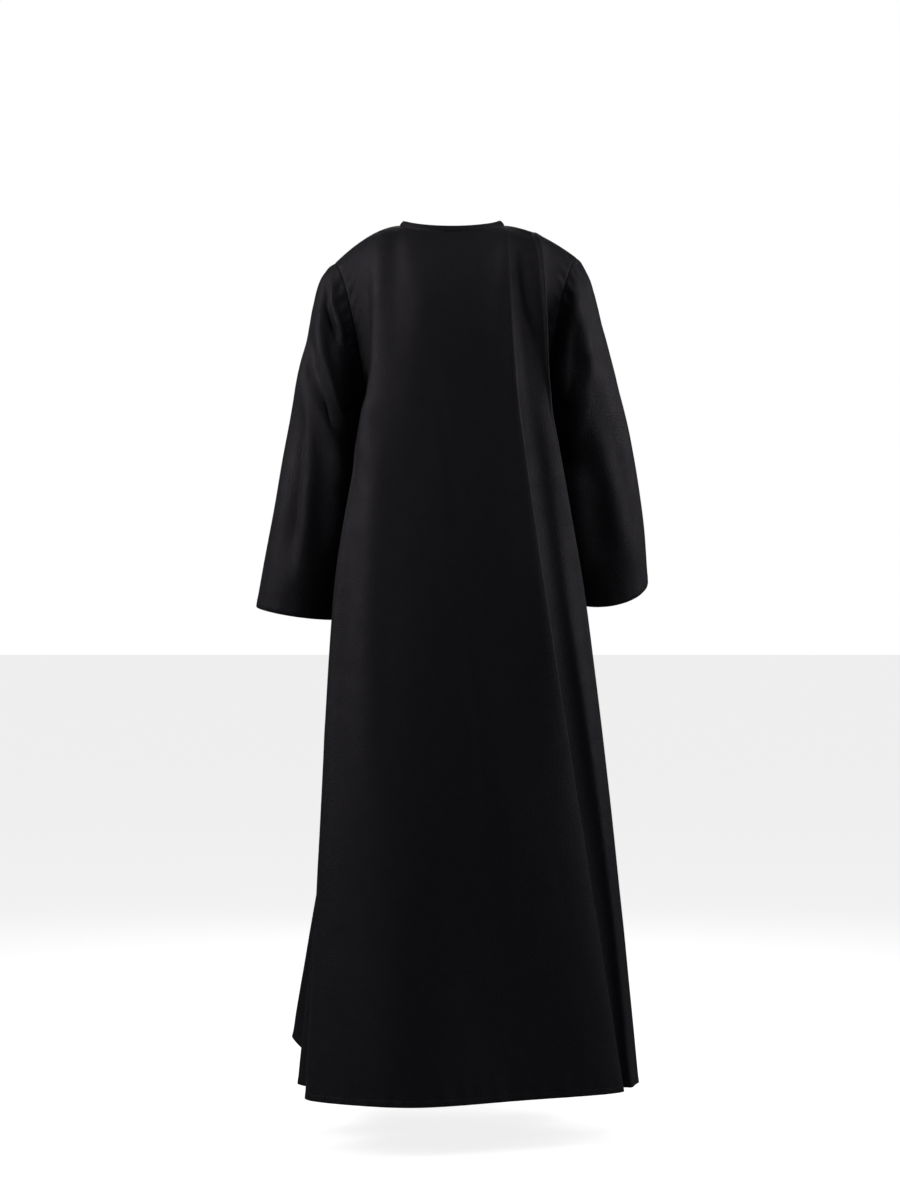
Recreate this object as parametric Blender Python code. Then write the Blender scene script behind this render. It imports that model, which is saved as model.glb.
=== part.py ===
"""An abaya cloak, hollow, as it hangs on a standing wearer.

Metres, +Z up. The wearer faces -Y and the wearer's left is +X. The origin is midway between the
two neck points, where the shoulder seams meet the neckline, and NECK_RISE below them, on the
wearer's shoulders. The cloak hangs from there.

Each cut piece is one thin wall. A fold is a line that starts on the shoulder or neck edge and runs
down through the chest, hip, knee and hem levels; the cloth is the smooth skin through these lines.
"""

from collections import namedtuple

import bpy
import numpy as np

MM = 0.001

# Driving sizes
LENGTH = 1.391
CHEST, HIP, KNEE, HEM = -0.300, -0.600, -1.000, -LENGTH
LEVELS = (CHEST, HIP, KNEE, HEM)
WALL = 0.0016
SEAM_GAP = 0.0006
HALF_GAP = SEAM_GAP / 2

# Neckline and shoulders
NECK_HALF, NECK_RISE = 0.085, 0.010
NECK_BACK, NECK_BACK_DROP = 0.060, 0.018
NECK_FRONT, NECK_FRONT_DROP = 0.080, 0.090
NECK_CURVE = 1.3  # 1 is an even curve from the neck point down to the middle; more is squarer
SHOULDER_LEFT = (0.192, -0.052)
SHOULDER_RIGHT = (-0.204, -0.043)
SHOULDER_CURVE = 1.7
NECK_TOP = 0.45  # a fold whose top is this starts at the neck point, one at 1 at the armhole

# How the cloth leaves the shoulder and the neckline, outwards and down, and for what shares of
# its way to the chest level it keeps that direction and then the one it has below the chest
OVER_SHOULDER = (1.0, -0.22)
OFF_NECKLINE = (0.72, -0.69)
LEAVING, ARRIVING = 0.30, 0.42
BLADE_WAY = (0.6, 1.0, 0.05)  # shares of the chest's plan, and a height, that a blade stands out by
JUST_BELOW = 0.02

# Armholes: from the last fold line that has this top, the cloth eases into the armhole's curve.
# The curve leaves the shoulder point and reaches the underarm point by these x, y, z handles.
ARM_TOP = 0.80
ARMHOLE_TOP = (-0.022, 0.074, -0.008)
ARMHOLE_BASE = (0.0, 0.046, 0.020)

# Front lap, right over left: how far each front runs past the middle towards the next fold line
LAP = 0.35
LAP_COLUMNS = 2
LAP_SPREAD = (0.0013, 0.0045)  # half the gap between their middles, at the neck and at the hem

# Sleeve rings: this share is evenly spaced, and the rest crowds to the armhole by a power.
# The armhole's own shape fades out over this share of the sleeve.
EVEN_RINGS, RING_CROWDING = 0.55, 1.6
ARMHOLE_FADE = 0.30

# A crease grows over a quarter of its length and dies over a third
CREASE_GROWS, CREASE_DIES = 4, 3

# Neck binding
BINDING_HEIGHT = 0.011
BINDING_RISE = 0.9

# Grid
YOKE_ROWS = 16
SKIRT_ROWS = 9
SLEEVE_ROWS = 14
BINDING_ROWS = 2

BACK, FRONT = 1, -1

BLACK_CREPE = (0.012, 0.012, 0.014, 1.0)
BLACK_BINDING = (0.010, 0.010, 0.012, 1.0)
CREPE_ROUGHNESS, BINDING_ROUGHNESS = 0.72, 0.65
SHARP_ANGLE = 50

# Fold lines, from the middle of the front over the wearer's left side and round the back.
# top: where the line starts on the neck and shoulder edge. steps: columns to the next line.
# blade: how far it stands out at shoulder-blade height. x, y: its plan at each level. All in mm.
Fold = namedtuple(
    "Fold",
    "name top steps blade chest_x chest_y hip_x hip_y knee_x knee_y hem_x hem_y lift",
)
LEFT_FRONT = (
    Fold("front_middle", 0.00, 3, 0, -5, -152, -6, -173, -10, -204, -13, -234, 0),
    Fold("front_flat", 0.16, 4, 0, 38, -152, 40, -173, 46, -205, 48, -238, 0),
    Fold("bust_fold", 0.45, 4, 2, 88, -147, 94, -170, 106, -220, 118, -272, 4),
    Fold("front_valley", 0.80, 4, 0, 120, -112, 132, -132, 150, -164, 170, -186, 0),
    Fold("front_flare", 0.90, 4, 0, 134, -66, 154, -88, 206, -120, 270, -150, 52),
)
BACK_PANEL = (
    Fold("left_seam", 1.00, 4, 0, 136, 0, 156, -14, 186, -40, 208, -66, 0),
    Fold("left_side_fold", 0.90, 4, 0, 133, 34, 160, 34, 210, 18, 252, 8, 0),
    Fold("left_valley", 0.80, 4, -4, 130, 60, 164, 62, 192, 66, 204, 72, 0),
    Fold("left_ridge", 0.62, 5, 7, 142, 96, 190, 104, 212, 126, 233, 144, 0),
    Fold("left_back", 0.45, 4, 0, 102, 121, 136, 142, 148, 174, 146, 210, 0),
    Fold("back_crown", 0.20, 5, 0, 44, 129, 52, 156, 56, 188, 50, 228, 0),
    Fold("back_middle", -0.18, 4, 0, -36, 128, -38, 152, -44, 174, -50, 192, 0),
    Fold("right_back", -0.36, 4, -2, -80, 124, -98, 146, -128, 156, -146, 150, 0),
    Fold("right_ridge", -0.47, 3, 6, -108, 122, -151, 140, -214, 116, -277, 80, 0),
    Fold("right_valley", -0.57, 3, -6, -134, 104, -174, 108, -232, 80, -272, 44, 0),
    Fold("right_side_fold", -0.667, 4, 18, -160, 90, -213, 82, -263, 50, -304, 10, 2),
    Fold("behind_arm", -0.80, 5, -4, -140, 56, -176, 38, -226, 4, -262, -30, 0),
)
RIGHT_FRONT = (
    Fold("right_seam", -1.00, 4, 0, -146, 0, -170, -14, -212, -46, -232, -78, 0),
    Fold("front_flare", -0.90, 4, 0, -144, -66, -168, -90, -220, -122, -256, -140, 10),
    Fold("front_valley", -0.80, 4, 0, -128, -112, -142, -134, -164, -166, -184, -182, 0),
    Fold("bust_fold", -0.45, 4, 2, -94, -147, -102, -174, -122, -230, -140, -280, 6),
    Fold("front_flat", -0.16, 3, 0, -48, -152, -52, -173, -62, -205, -70, -238, 0),
)
FOLDS = LEFT_FRONT + BACK_PANEL + RIGHT_FRONT
COUNT = len(FOLDS)
LEFT_SEAM = len(LEFT_FRONT)
RIGHT_SEAM = LEFT_SEAM + len(BACK_PANEL)

Panel = namedtuple("Panel", "name first last side")
PANELS = (
    Panel("front_left", 0, LEFT_SEAM, FRONT),
    Panel("back", LEFT_SEAM, RIGHT_SEAM, BACK),
    Panel("front_right", RIGHT_SEAM, COUNT, FRONT),
)

# Sleeve stations from the armhole to the cuff. outer and inner: x, z of the tube's two edges.
# depth: half its size along Y, about centre_y. tip: how far the back edge is below the front one.
Station = namedtuple("Station", "at outer_x outer_z inner_x inner_z depth centre_y tip")
LEFT_SLEEVE = (
    Station(0.00, 192, -52, 136, -300, 46, 0, 0),
    Station(0.08, 214, -77, 148, -301, 55, 0, 0),
    Station(0.22, 234, -150, 151, -330, 64, -2, 0),
    Station(0.42, 256, -250, 153, -395, 68, -8, 0),
    Station(0.62, 274, -350, 159, -468, 66, -16, 3),
    Station(0.82, 299, -486, 171, -546, 66, -26, 6),
    Station(1.00, 322, -612, 186, -632, 68, -36, 7),
)
RIGHT_SLEEVE = (
    Station(0.00, -204, -43, -146, -300, 46, 0, 0),
    Station(0.08, -225, -78, -158, -301, 55, 0, 0),
    Station(0.22, -246, -154, -162, -328, 64, -2, 0),
    Station(0.42, -271, -250, -164, -388, 68, -10, 4),
    Station(0.62, -295, -350, -169, -450, 66, -24, 12),
    Station(0.82, -314, -460, -180, -518, 65, -48, 22),
    Station(1.00, -325, -571, -192, -591, 65, -76, 31),
)

# Sleeve creases: a crest or a valley from one station and angle to another. Angles run from the
# outer edge, 0, over the back, 90, to the inner edge, 180.
Crease = namedtuple("Crease", "name start_at start_angle end_at end_angle height width")
LEFT_CREASES = (
    Crease("long_drag_crest", 0.06, 20, 0.56, 134, 10.0, 20),
    Crease("long_drag_valley", 0.12, -6, 0.64, 106, -8.0, 22),
    Crease("short_drag_crest", 0.02, 64, 0.32, 126, 7.0, 18),
    Crease("elbow_valley", 0.46, 190, 0.62, 134, -8.0, 22),
    Crease("front_drag", 0.05, 330, 0.50, 228, 8.0, 24),
    Crease("forearm_crest", 0.56, 56, 1.05, 80, 6.0, 28),
)
RIGHT_CREASES = (
    Crease("back_drag_valley", 0.08, 70, 0.36, 148, -8.0, 20),
    Crease("back_drag_crest", 0.10, 36, 0.48, 116, 7.0, 22),
    Crease("elbow_valley", 0.34, 186, 0.50, 128, -9.0, 20),
    Crease("front_drag", 0.05, 330, 0.50, 228, 8.0, 24),
    Crease("forearm_crest", 0.42, 40, 1.05, 58, 6.0, 28),
)


def unit(vectors):
    return vectors / np.maximum(np.linalg.norm(vectors, axis=-1, keepdims=True), 1e-12)


def ease(amount):
    """0 to 1 with level ends."""
    amount = np.clip(amount, 0.0, 1.0)
    return amount * amount * (3.0 - 2.0 * amount)


def smooth_through(places, values, at):
    """A monotone cubic through values at rising places, read at every one of at."""
    places, values = np.asarray(places, float), np.asarray(values, float)
    at = np.atleast_1d(at)
    shape = (-1,) + (1,) * (values.ndim - 1)
    gaps = np.diff(places)
    rates = np.diff(values, axis=0) / gaps.reshape(shape)
    slopes = np.concatenate([rates[:1], np.zeros_like(rates[1:]), rates[-1:]])
    before, after = rates[:-1], rates[1:]
    same_way = before * after > 0
    total = np.where(same_way, before + after, 1.0)
    slopes[1:-1] = np.where(same_way, 2.0 * before * after / total, 0.0)
    spot = np.clip(np.searchsorted(places, at, side="right") - 1, 0, len(gaps) - 1)
    f = ((at - places[spot]) / gaps[spot]).reshape(shape)
    gap = gaps[spot].reshape(shape)
    return (
        values[spot] * (1 + 2 * f) * (1 - f) ** 2
        + values[spot + 1] * f * f * (3 - 2 * f)
        + gap * slopes[spot] * f * (1 - f) ** 2
        - gap * slopes[spot + 1] * f * f * (1 - f)
    )


# ---------------------------------------------------------------- the body


def column_places(first, last):
    """A panel's columns as places on the list of fold lines: 2.5 is halfway from 2 to 3."""
    places = [
        index + step / FOLDS[index].steps
        for index in range(first, last)
        for step in range(FOLDS[index].steps)
    ]
    lap = LAP * np.arange(1, LAP_COLUMNS + 1) / LAP_COLUMNS
    before = -lap[::-1] if first == 0 else []
    after = COUNT + lap if last == COUNT else []
    return np.concatenate([before, places, [last], after])


def read_folds(column, places):
    """A column of the fold table, read at any place round the cloak, with straight steps."""
    values = np.array([getattr(fold, column) for fold in FOLDS], float)
    around = np.concatenate([values[-1:], values, values[:2]])
    return np.interp(places, np.arange(-1, COUNT + 2), around)


def read_folds_smooth(column, places):
    """The same, with smooth steps and the table's millimetres made metres."""
    values = np.array([getattr(fold, column) for fold in FOLDS], float) * MM
    around = np.concatenate([values[-1:], values, values[:2]])
    return smooth_through(np.arange(-1, COUNT + 2), around, places)


def fold_plans(fraction):
    """Every fold line's x, y in plan, at a fraction of the way from the chest to the hem."""
    depth = CHEST + (HEM - CHEST) * fraction
    plans = np.array([fold[4:12] for fold in FOLDS], float).reshape(-1, 4, 2) * MM
    levels = [-level for level in LEVELS]
    return smooth_through(levels, plans.transpose(1, 0, 2), -depth)[0]


def section(plans, places):
    """A closed curve of even bending in plan through the fold lines, read at the columns."""
    steps = np.roll(plans, -1, axis=0) - plans
    gaps = np.sqrt(np.linalg.norm(steps, axis=1))
    gaps_before = np.roll(gaps, 1)
    slopes = steps / gaps[:, None] ** 2
    matrix = (
        np.diag(2 / gaps_before + 2 / gaps)
        + np.roll(np.diag(1 / gaps), 1, axis=1)
        + np.roll(np.diag(1 / gaps_before), -1, axis=1)
    )
    tangents = np.linalg.solve(matrix, 3 * (slopes + np.roll(slopes, 1, axis=0)))
    whole = np.floor(places)
    low = whole.astype(int) % COUNT
    high = (low + 1) % COUNT
    f = (places - whole)[:, None]
    step = gaps[low][:, None]
    return (
        plans[low] * (1 + 2 * f) * (1 - f) ** 2
        + plans[high] * f * f * (3 - 2 * f)
        + step * tangents[low] * f * (1 - f) ** 2
        - step * tangents[high] * f * f * (1 - f)
    )


def skirt(places, fractions):
    """The cloth from the chest ring down to the hem, as a grid of rows and columns."""
    lift = read_folds_smooth("lift", places)
    rows = []
    for fraction in fractions:
        plan = section(fold_plans(fraction), places)
        height = CHEST + fraction * (HEM + lift - CHEST)
        rows.append(np.column_stack([plan, height]))
    return np.array(rows)


def top_edge(top, side):
    """The neckline and the two shoulder seams: top is 0 at the middle and 1 or -1 at an armhole."""
    left = top > 0
    reach = np.clip((np.abs(top) - NECK_TOP) / (1 - NECK_TOP), 0, 1)
    shoulder_x = np.where(left, SHOULDER_LEFT[0], SHOULDER_RIGHT[0])
    shoulder_z = np.where(left, SHOULDER_LEFT[1], SHOULDER_RIGHT[1])
    neck_x = np.where(left, NECK_HALF, -NECK_HALF)
    seam = np.column_stack(
        [
            neck_x + (shoulder_x - neck_x) * reach,
            np.zeros_like(top),
            NECK_RISE + (shoulder_z - NECK_RISE) * reach**SHOULDER_CURVE,
        ]
    )
    turn = top / NECK_TOP * np.pi / 2
    around = np.cos(np.clip(turn, -np.pi / 2, np.pi / 2))
    depth, drop = (
        (NECK_BACK, NECK_BACK_DROP) if side == BACK else (NECK_FRONT, NECK_FRONT_DROP)
    )
    neck = np.column_stack(
        [
            NECK_HALF * np.sin(turn),
            side * depth * around,
            NECK_RISE - drop * around**NECK_CURVE,
        ]
    )
    return np.where((np.abs(top) >= NECK_TOP)[:, None], seam, neck)


def drape(places, side, fractions):
    """Falls of cloth from the neck and shoulder edge, smoothly into the chest ring."""
    top = read_folds("top", places)
    start = top_edge(top, side)
    chest, below = skirt(places, (0.0, JUST_BELOW))
    rise = unit(chest - below)
    long = np.linalg.norm(chest - start, axis=1, keepdims=True)
    neckward = ease(1 - np.abs(top) / NECK_TOP)[:, None]
    over_shoulder = np.array([0.0, side * OVER_SHOULDER[0], OVER_SHOULDER[1]])
    off_neck = np.array([0.0, side * OFF_NECKLINE[0], OFF_NECKLINE[1]])
    leave = unit(over_shoulder + (off_neck - over_shoulder) * neckward)
    first = start + leave * long * LEAVING
    last = chest + rise * long * ARRIVING
    blade = read_folds_smooth("blade", places)[:, None]
    out = unit(np.column_stack([chest[:, :2], np.ones_like(top)]) * BLADE_WAY)
    return np.array(
        [
            bezier(start, first, last, chest, f) + out * blade * np.sin(np.pi * f)
            for f in fractions
        ]
    )


def bezier(start, first, last, end, f):
    g = 1 - f
    return start * g**3 + 3 * first * f * g**2 + 3 * last * f**2 * g + end * f**3


def yoke(places, side, fractions):
    """The cloth from the neck and shoulder edge to the chest ring, cut away at the armholes."""
    top = read_folds("top", places)
    rows = drape(places, side, fractions)
    start, chest = top_edge(top, side), skirt(places, (0.0,))[0]
    for hand in (1, -1):
        near = hand * top > ARM_TOP
        if not near.any():
            continue
        order = np.argsort(top)
        valley_at = np.interp(hand * ARM_TOP, top[order], places[order])
        arm_at = np.interp(hand * 1.0, top[order], places[order])
        ends = np.array([valley_at, arm_at])
        edge_start = top_edge(np.array([hand * 1.0]), side)[0]
        edge_chest = skirt(ends, (0.0,))[0, 1]
        turned = np.array([hand, side, 1.0])
        first = edge_start + turned * ARMHOLE_TOP
        last = edge_chest + turned * ARMHOLE_BASE
        valley = drape(ends[:1], side, fractions)
        into = ((np.abs(top[near]) - ARM_TOP) / (1 - ARM_TOP))[:, None]
        chord_start = top_edge(hand * np.array([ARM_TOP, 1.0]), side)
        chord_chest = skirt(ends, (0.0,))[0]
        off_start = start[near] - (chord_start[0] * (1 - into) + chord_start[1] * into)
        off_chest = chest[near] - (chord_chest[0] * (1 - into) + chord_chest[1] * into)
        for row, f in enumerate(fractions):
            armhole = bezier(edge_start, first, last, edge_chest, f)
            rows[row, near] = (
                valley[row] * (1 - into)
                + armhole * into
                + off_start * (1 - f) ** 2
                + off_chest * f**2
            )
    return rows


def panel(first, last, side, yoke_rows, skirt_rows):
    """The middle surface of the cut piece between two fold lines, neck edge to hem."""
    places = column_places(first, last)
    upper = yoke(places, side, np.arange(yoke_rows) / yoke_rows)
    lower = skirt(places, np.arange(skirt_rows + 1) / skirt_rows)
    return np.concatenate([upper, lower]), places


def normals_of(grid, closed=False):
    """Each grid point's normal, pointing out of the cloak."""
    down = np.gradient(grid, axis=0)
    if closed:
        across = np.roll(grid, -1, axis=1) - np.roll(grid, 1, axis=1)
    else:
        across = np.gradient(grid, axis=1)
    return unit(np.cross(down, across))


def spread_lap(grid, normals, places):
    """Parts the two fronts where they lap: the right one lies outside the left one."""
    left = 1 - ease(places)
    right = 1 - ease(COUNT - places)
    down = ease(np.linspace(0, 1, len(grid)))
    spread = LAP_SPREAD[0] + (LAP_SPREAD[1] - LAP_SPREAD[0]) * down
    return grid + normals * (spread[:, None] * (right - left))[:, :, None]


def drawn_in(grid, normals, amount, closed=False):
    """Draws a piece's edges in along the cloth, so that it stays clear of its neighbours."""
    moved = grid.copy()
    for row, into in ((0, 1), (-1, -2)):
        inward = unit(grid[into] - grid[row])
        along = unit(np.gradient(grid[row], axis=0))
        square = unit(inward - along * (inward * along).sum(1, keepdims=True))
        moved[row] += square * amount
    if closed:
        return moved
    for column, into in ((0, 1), (-1, -2)):
        inward = unit(grid[:, into] - grid[:, column])
        along = unit(np.gradient(grid[:, column], axis=0))
        square = unit(inward - along * (inward * along).sum(1, keepdims=True))
        moved[:, column] += square * amount
    return moved


# ---------------------------------------------------------------- the sleeves


def sleeve(stations, creases, armhole, rows):
    """A tube from the armhole to the cuff, whose first ring is the armhole itself."""
    table = np.array(stations, float)
    at = np.linspace(0, 1, rows + 1)
    at = EVEN_RINGS * at + (1 - EVEN_RINGS) * at**RING_CROWDING
    shape = smooth_through(table[:, 0], table[:, 1:] * MM, at)
    outer = np.column_stack([shape[:, 0], shape[:, 5], shape[:, 1]])
    inner = np.column_stack([shape[:, 2], shape[:, 5], shape[:, 3]])
    middle, half = (outer + inner) / 2, (outer - inner) / 2
    depth = np.column_stack([0 * at, shape[:, 4], -shape[:, 6]])
    count = len(armhole)
    steps = np.linalg.norm(armhole - np.roll(armhole, 1, axis=0), axis=1)
    turn = np.empty(count)
    for first, last in ((0, count // 2), (count // 2, count)):
        run = np.concatenate([[0], np.cumsum(steps[np.arange(first + 1, last + 1) % count])])
        turn[first:last] = np.pi * (first > 0) + np.pi * run[:-1] / run[-1]
    tube = (
        middle[:, None]
        + half[:, None] * np.cos(turn)[None, :, None]
        + depth[:, None] * np.sin(turn)[None, :, None]
    )
    out = unit(tube - middle[:, None])
    angle = np.degrees(turn)
    for crease in creases:
        along = (at - crease.start_at) / (crease.end_at - crease.start_at)
        centre = crease.start_angle + along * (crease.end_angle - crease.start_angle)
        away = (angle[None] - centre[:, None] + 180) % 360 - 180
        swell = ease(CREASE_GROWS * along) * ease(CREASE_DIES * (1 - along))
        bump = np.exp(-((away / crease.width) ** 2)) * swell[:, None]
        tube += out * (crease.height * MM * bump)[:, :, None]
    fade = 1 - ease(at / ARMHOLE_FADE)
    tube += (armhole - tube[0])[None] * fade[:, None, None]
    return tube


def armhole_of(back, front, column_back, column_front, rows):
    """The armhole's loop: down the back piece's edge, and up the front piece's edge."""
    return np.concatenate([back[:rows, column_back], front[rows:0:-1, column_front]])


# ---------------------------------------------------------------- solids


def wall(name, grid, normals, material, closed=False):
    """A closed solid of even thickness about a grid of points."""
    rows, columns = grid.shape[:2]
    offset = normals * (WALL / 2)
    points = np.concatenate([(grid + offset).reshape(-1, 3), (grid - offset).reshape(-1, 3)])
    inner = rows * columns
    span = columns if closed else columns - 1

    def at(row, column):
        return row * columns + column % columns

    faces = []
    for row in range(rows - 1):
        for column in range(span):
            a, b = at(row, column), at(row, column + 1)
            c, d = at(row + 1, column + 1), at(row + 1, column)
            faces.append((a, d, c, b))
            faces.append((inner + a, inner + b, inner + c, inner + d))
    for column in range(span):
        a, b = at(0, column), at(0, column + 1)
        faces.append((a, b, inner + b, inner + a))
        a, b = at(rows - 1, column), at(rows - 1, column + 1)
        faces.append((a, inner + a, inner + b, b))
    if not closed:
        for row in range(rows - 1):
            a, b = at(row, 0), at(row + 1, 0)
            faces.append((a, inner + a, inner + b, b))
            a, b = at(row, columns - 1), at(row + 1, columns - 1)
            faces.append((a, b, inner + b, inner + a))
    mesh = bpy.data.meshes.new(name)
    mesh.from_pydata(points.tolist(), [], faces)
    mesh.materials.append(material)
    mesh.shade_smooth()
    mesh.set_sharp_from_angle(angle=np.radians(SHARP_ANGLE))
    piece = bpy.data.objects.new(name, mesh)
    bpy.context.scene.collection.objects.link(piece)
    return piece


def cloth_material(name, colour, roughness):
    material = bpy.data.materials.new(name)
    material.use_nodes = True
    shader = material.node_tree.nodes["Principled BSDF"]
    shader.inputs["Base Color"].default_value = colour
    shader.inputs["Roughness"].default_value = roughness
    shader.inputs["Metallic"].default_value = 0.0
    return material


def share_normals(pieces):
    """Gives pieces that meet at a seam point the same normal there, so that their ends are parallel."""
    total = {}
    keys = {}
    for name, (grid, normals, _) in pieces.items():
        keys[name] = [tuple(point) for point in np.round(grid.reshape(-1, 3), 6)]
        for key, normal in zip(keys[name], normals.reshape(-1, 3)):
            total[key] = total.get(key, 0) + normal
    for name, (grid, normals, _) in pieces.items():
        shared = np.array([total[key] for key in keys[name]])
        normals[:] = unit(shared).reshape(normals.shape)


def binding_of(panels):
    """The strip that binds the neckline, made from the top rows of the three panels."""
    edge, out = [], []
    for grid, normals, places in panels:
        neck = np.abs(read_folds("top", places)) <= NECK_TOP + 1e-6
        edge.append(grid[0, neck])
        out.append(normals[0, neck])
    edge = np.concatenate([edge[0], edge[1][1:], edge[2][1:]])
    out = np.concatenate([out[0], out[1][1:], out[2][1:]])
    along = unit(np.gradient(edge, axis=0))
    rise = unit(unit(np.cross(out, along)) + np.array([0, 0, BINDING_RISE]))
    heights = SEAM_GAP + BINDING_HEIGHT * np.arange(BINDING_ROWS + 1) / BINDING_ROWS
    grid = edge[None] + rise[None] * heights[::-1, None, None]
    normals = normals_of(grid)
    normals[-1] = out
    return grid, normals


def build():
    for item in list(bpy.data.objects):
        bpy.data.objects.remove(item)
    crepe = cloth_material("black_crepe", BLACK_CREPE, CREPE_ROUGHNESS)
    bias = cloth_material("black_binding", BLACK_BINDING, BINDING_ROUGHNESS)

    pieces = {}
    for name, first, last, side in PANELS:
        grid, places = panel(first, last, side, YOKE_ROWS, SKIRT_ROWS)
        pieces[name] = [grid, normals_of(grid), places]
    back = pieces["back"][0]
    left_hole = armhole_of(back, pieces["front_left"][0], 0, -1, YOKE_ROWS)
    right_hole = armhole_of(back, pieces["front_right"][0], -1, 0, YOKE_ROWS)
    left = sleeve(LEFT_SLEEVE, LEFT_CREASES, left_hole, SLEEVE_ROWS)
    right = sleeve(RIGHT_SLEEVE, RIGHT_CREASES, right_hole, SLEEVE_ROWS)
    pieces["sleeve_left"] = [left, normals_of(left, closed=True), None]
    pieces["sleeve_right"] = [right, -normals_of(right, closed=True), None]
    share_normals(pieces)

    for name, _, _, side in PANELS:
        grid, normals, places = pieces[name]
        shoulder = np.abs(read_folds("top", places)) >= NECK_TOP
        normals[0, shoulder, 1] = 0
        normals[0] = unit(normals[0])
        if side == FRONT:
            pieces[name][0] = spread_lap(grid, normals, places)
    binding, binding_normals = binding_of([pieces[panel.name] for panel in PANELS])

    for name, (grid, normals, places) in pieces.items():
        closed = places is None
        if name == "sleeve_right":
            grid, normals = grid[:, ::-1], normals[:, ::-1]
        drawn = drawn_in(grid, normals, HALF_GAP, closed)
        wall(name, drawn, normals, crepe, closed)
    wall("neck_binding", binding, binding_normals, bias)


build()
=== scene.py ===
"""Looks of an abaya cloak: fine crepe over its cut pieces, with seams, hems, stitches and light.

The cloth repeats the solids' fold lines on a finer grid. On it lie the small creases, the puckers
beside the seams and the turned hems. Metres, +Z up; the wearer faces -Y.
"""

from collections import namedtuple

import bpy
import numpy as np
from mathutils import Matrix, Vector


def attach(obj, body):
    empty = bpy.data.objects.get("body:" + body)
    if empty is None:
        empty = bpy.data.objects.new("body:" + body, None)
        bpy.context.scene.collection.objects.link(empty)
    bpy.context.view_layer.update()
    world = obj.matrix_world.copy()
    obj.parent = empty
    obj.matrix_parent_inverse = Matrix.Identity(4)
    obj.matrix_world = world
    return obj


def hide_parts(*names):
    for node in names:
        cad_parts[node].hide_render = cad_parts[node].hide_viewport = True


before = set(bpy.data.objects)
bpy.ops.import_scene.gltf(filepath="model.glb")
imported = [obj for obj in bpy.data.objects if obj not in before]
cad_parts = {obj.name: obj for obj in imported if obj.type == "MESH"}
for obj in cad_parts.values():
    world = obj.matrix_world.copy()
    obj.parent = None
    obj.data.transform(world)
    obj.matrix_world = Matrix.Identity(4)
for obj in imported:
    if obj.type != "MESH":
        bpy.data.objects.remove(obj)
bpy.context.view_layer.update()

MM = 0.001
TINY = 1e-12  # keeps a division from nought
BACK, FRONT = 1, -1

# Driving sizes
LENGTH = 1.391
CHEST, HIP, KNEE, HEM = -0.300, -0.600, -1.000, -LENGTH
LEVELS = (CHEST, HIP, KNEE, HEM)
SEAM_GAP = 0.0006
SEAM_DECIMALS = 6  # points that agree to so many are one on a seam

# Neckline and shoulders
NECK_HALF, NECK_RISE = 0.085, 0.010
NECK_BACK, NECK_BACK_DROP = 0.060, 0.018
NECK_FRONT, NECK_FRONT_DROP = 0.080, 0.090
NECK_CURVE = 1.3  # 1 is evenly round from the neck point down to the middle; more is more pointed
SHOULDER_LEFT = (0.192, -0.052)
SHOULDER_RIGHT = (-0.204, -0.043)
SHOULDER_CURVE = 1.7
NECK_TOP = 0.45  # a fold whose top is this starts at the neck point, one at 1 at the armhole
TOP_CLOSE = 1e-6  # tops this near are the same

# How the cloth leaves the shoulder and the neckline, outwards and down, and for what shares of
# its way to the chest level it keeps that direction and then the one it has below the chest
OVER_SHOULDER = (1.0, -0.22)
OFF_NECKLINE = (0.72, -0.69)
LEAVING, ARRIVING = 0.30, 0.42
BLADE_WAY = (0.6, 1.0, 0.05)  # shares of the chest's plan, and a height, that a blade stands out by
JUST_BELOW = 0.02

# Armholes: from the last fold line that has this top, the cloth eases into the armhole's curve.
# The curve leaves the shoulder point and reaches the underarm point by these x, y, z handles.
ARM_TOP = 0.80
ARMHOLE_TOP = (-0.022, 0.074, -0.008)
ARMHOLE_BASE = (0.0, 0.046, 0.020)

# Front lap, right over left: how far each front runs past the middle towards the next fold line
LAP = 0.35
LAP_SPREAD = (0.0013, 0.0045)  # half the gap between their middles, at the neck and at the hem

# Sleeve rings: this share is evenly spaced, and the rest crowds to the armhole by a power.
# The armhole's own shape fades out over this share of the sleeve.
EVEN_RINGS, RING_CROWDING = 0.55, 1.6
ARMHOLE_FADE = 0.30

# A crease grows over a quarter of its length and dies over a third
CREASE_GROWS, CREASE_DIES = 4, 3

# Neck binding: its height, how upright it stands, its rows, and rounds of evening out the way it
# stands up, round the neck corners. Half its thickness at its edges, and what its middle adds.
BINDING_HEIGHT = 0.011
BINDING_RISE = 0.9
BINDING_ROWS = 8
BINDING_ROUNDS = 60
BINDING_EDGE, BINDING_FULL = 0.0007, 0.0005

# Fold lines, from the middle of the front over the wearer's left side and round the back.
# top: where the line starts on the neck and shoulder edge. steps: columns to the next line.
# blade: how far it stands out at shoulder-blade height. x, y: its plan at each level. lift: how
# far its hem is raised. Sizes in mm.
Fold = namedtuple(
    "Fold", "name top steps blade chest_x chest_y hip_x hip_y knee_x knee_y hem_x hem_y lift"
)
PLAN = slice(Fold._fields.index("chest_x"), Fold._fields.index("lift"))
LEFT_FRONT = (
    Fold("front_middle", 0.00, 3, 0, -5, -152, -6, -173, -10, -204, -13, -234, 0),
    Fold("front_flat", 0.16, 4, 0, 38, -152, 40, -173, 46, -205, 48, -238, 0),
    Fold("bust_fold", 0.45, 4, 2, 88, -147, 94, -170, 106, -220, 118, -272, 4),
    Fold("front_valley", 0.80, 4, 0, 120, -112, 132, -132, 150, -164, 170, -186, 0),
    Fold("front_flare", 0.90, 4, 0, 134, -66, 154, -88, 206, -120, 270, -150, 52),
)
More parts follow.
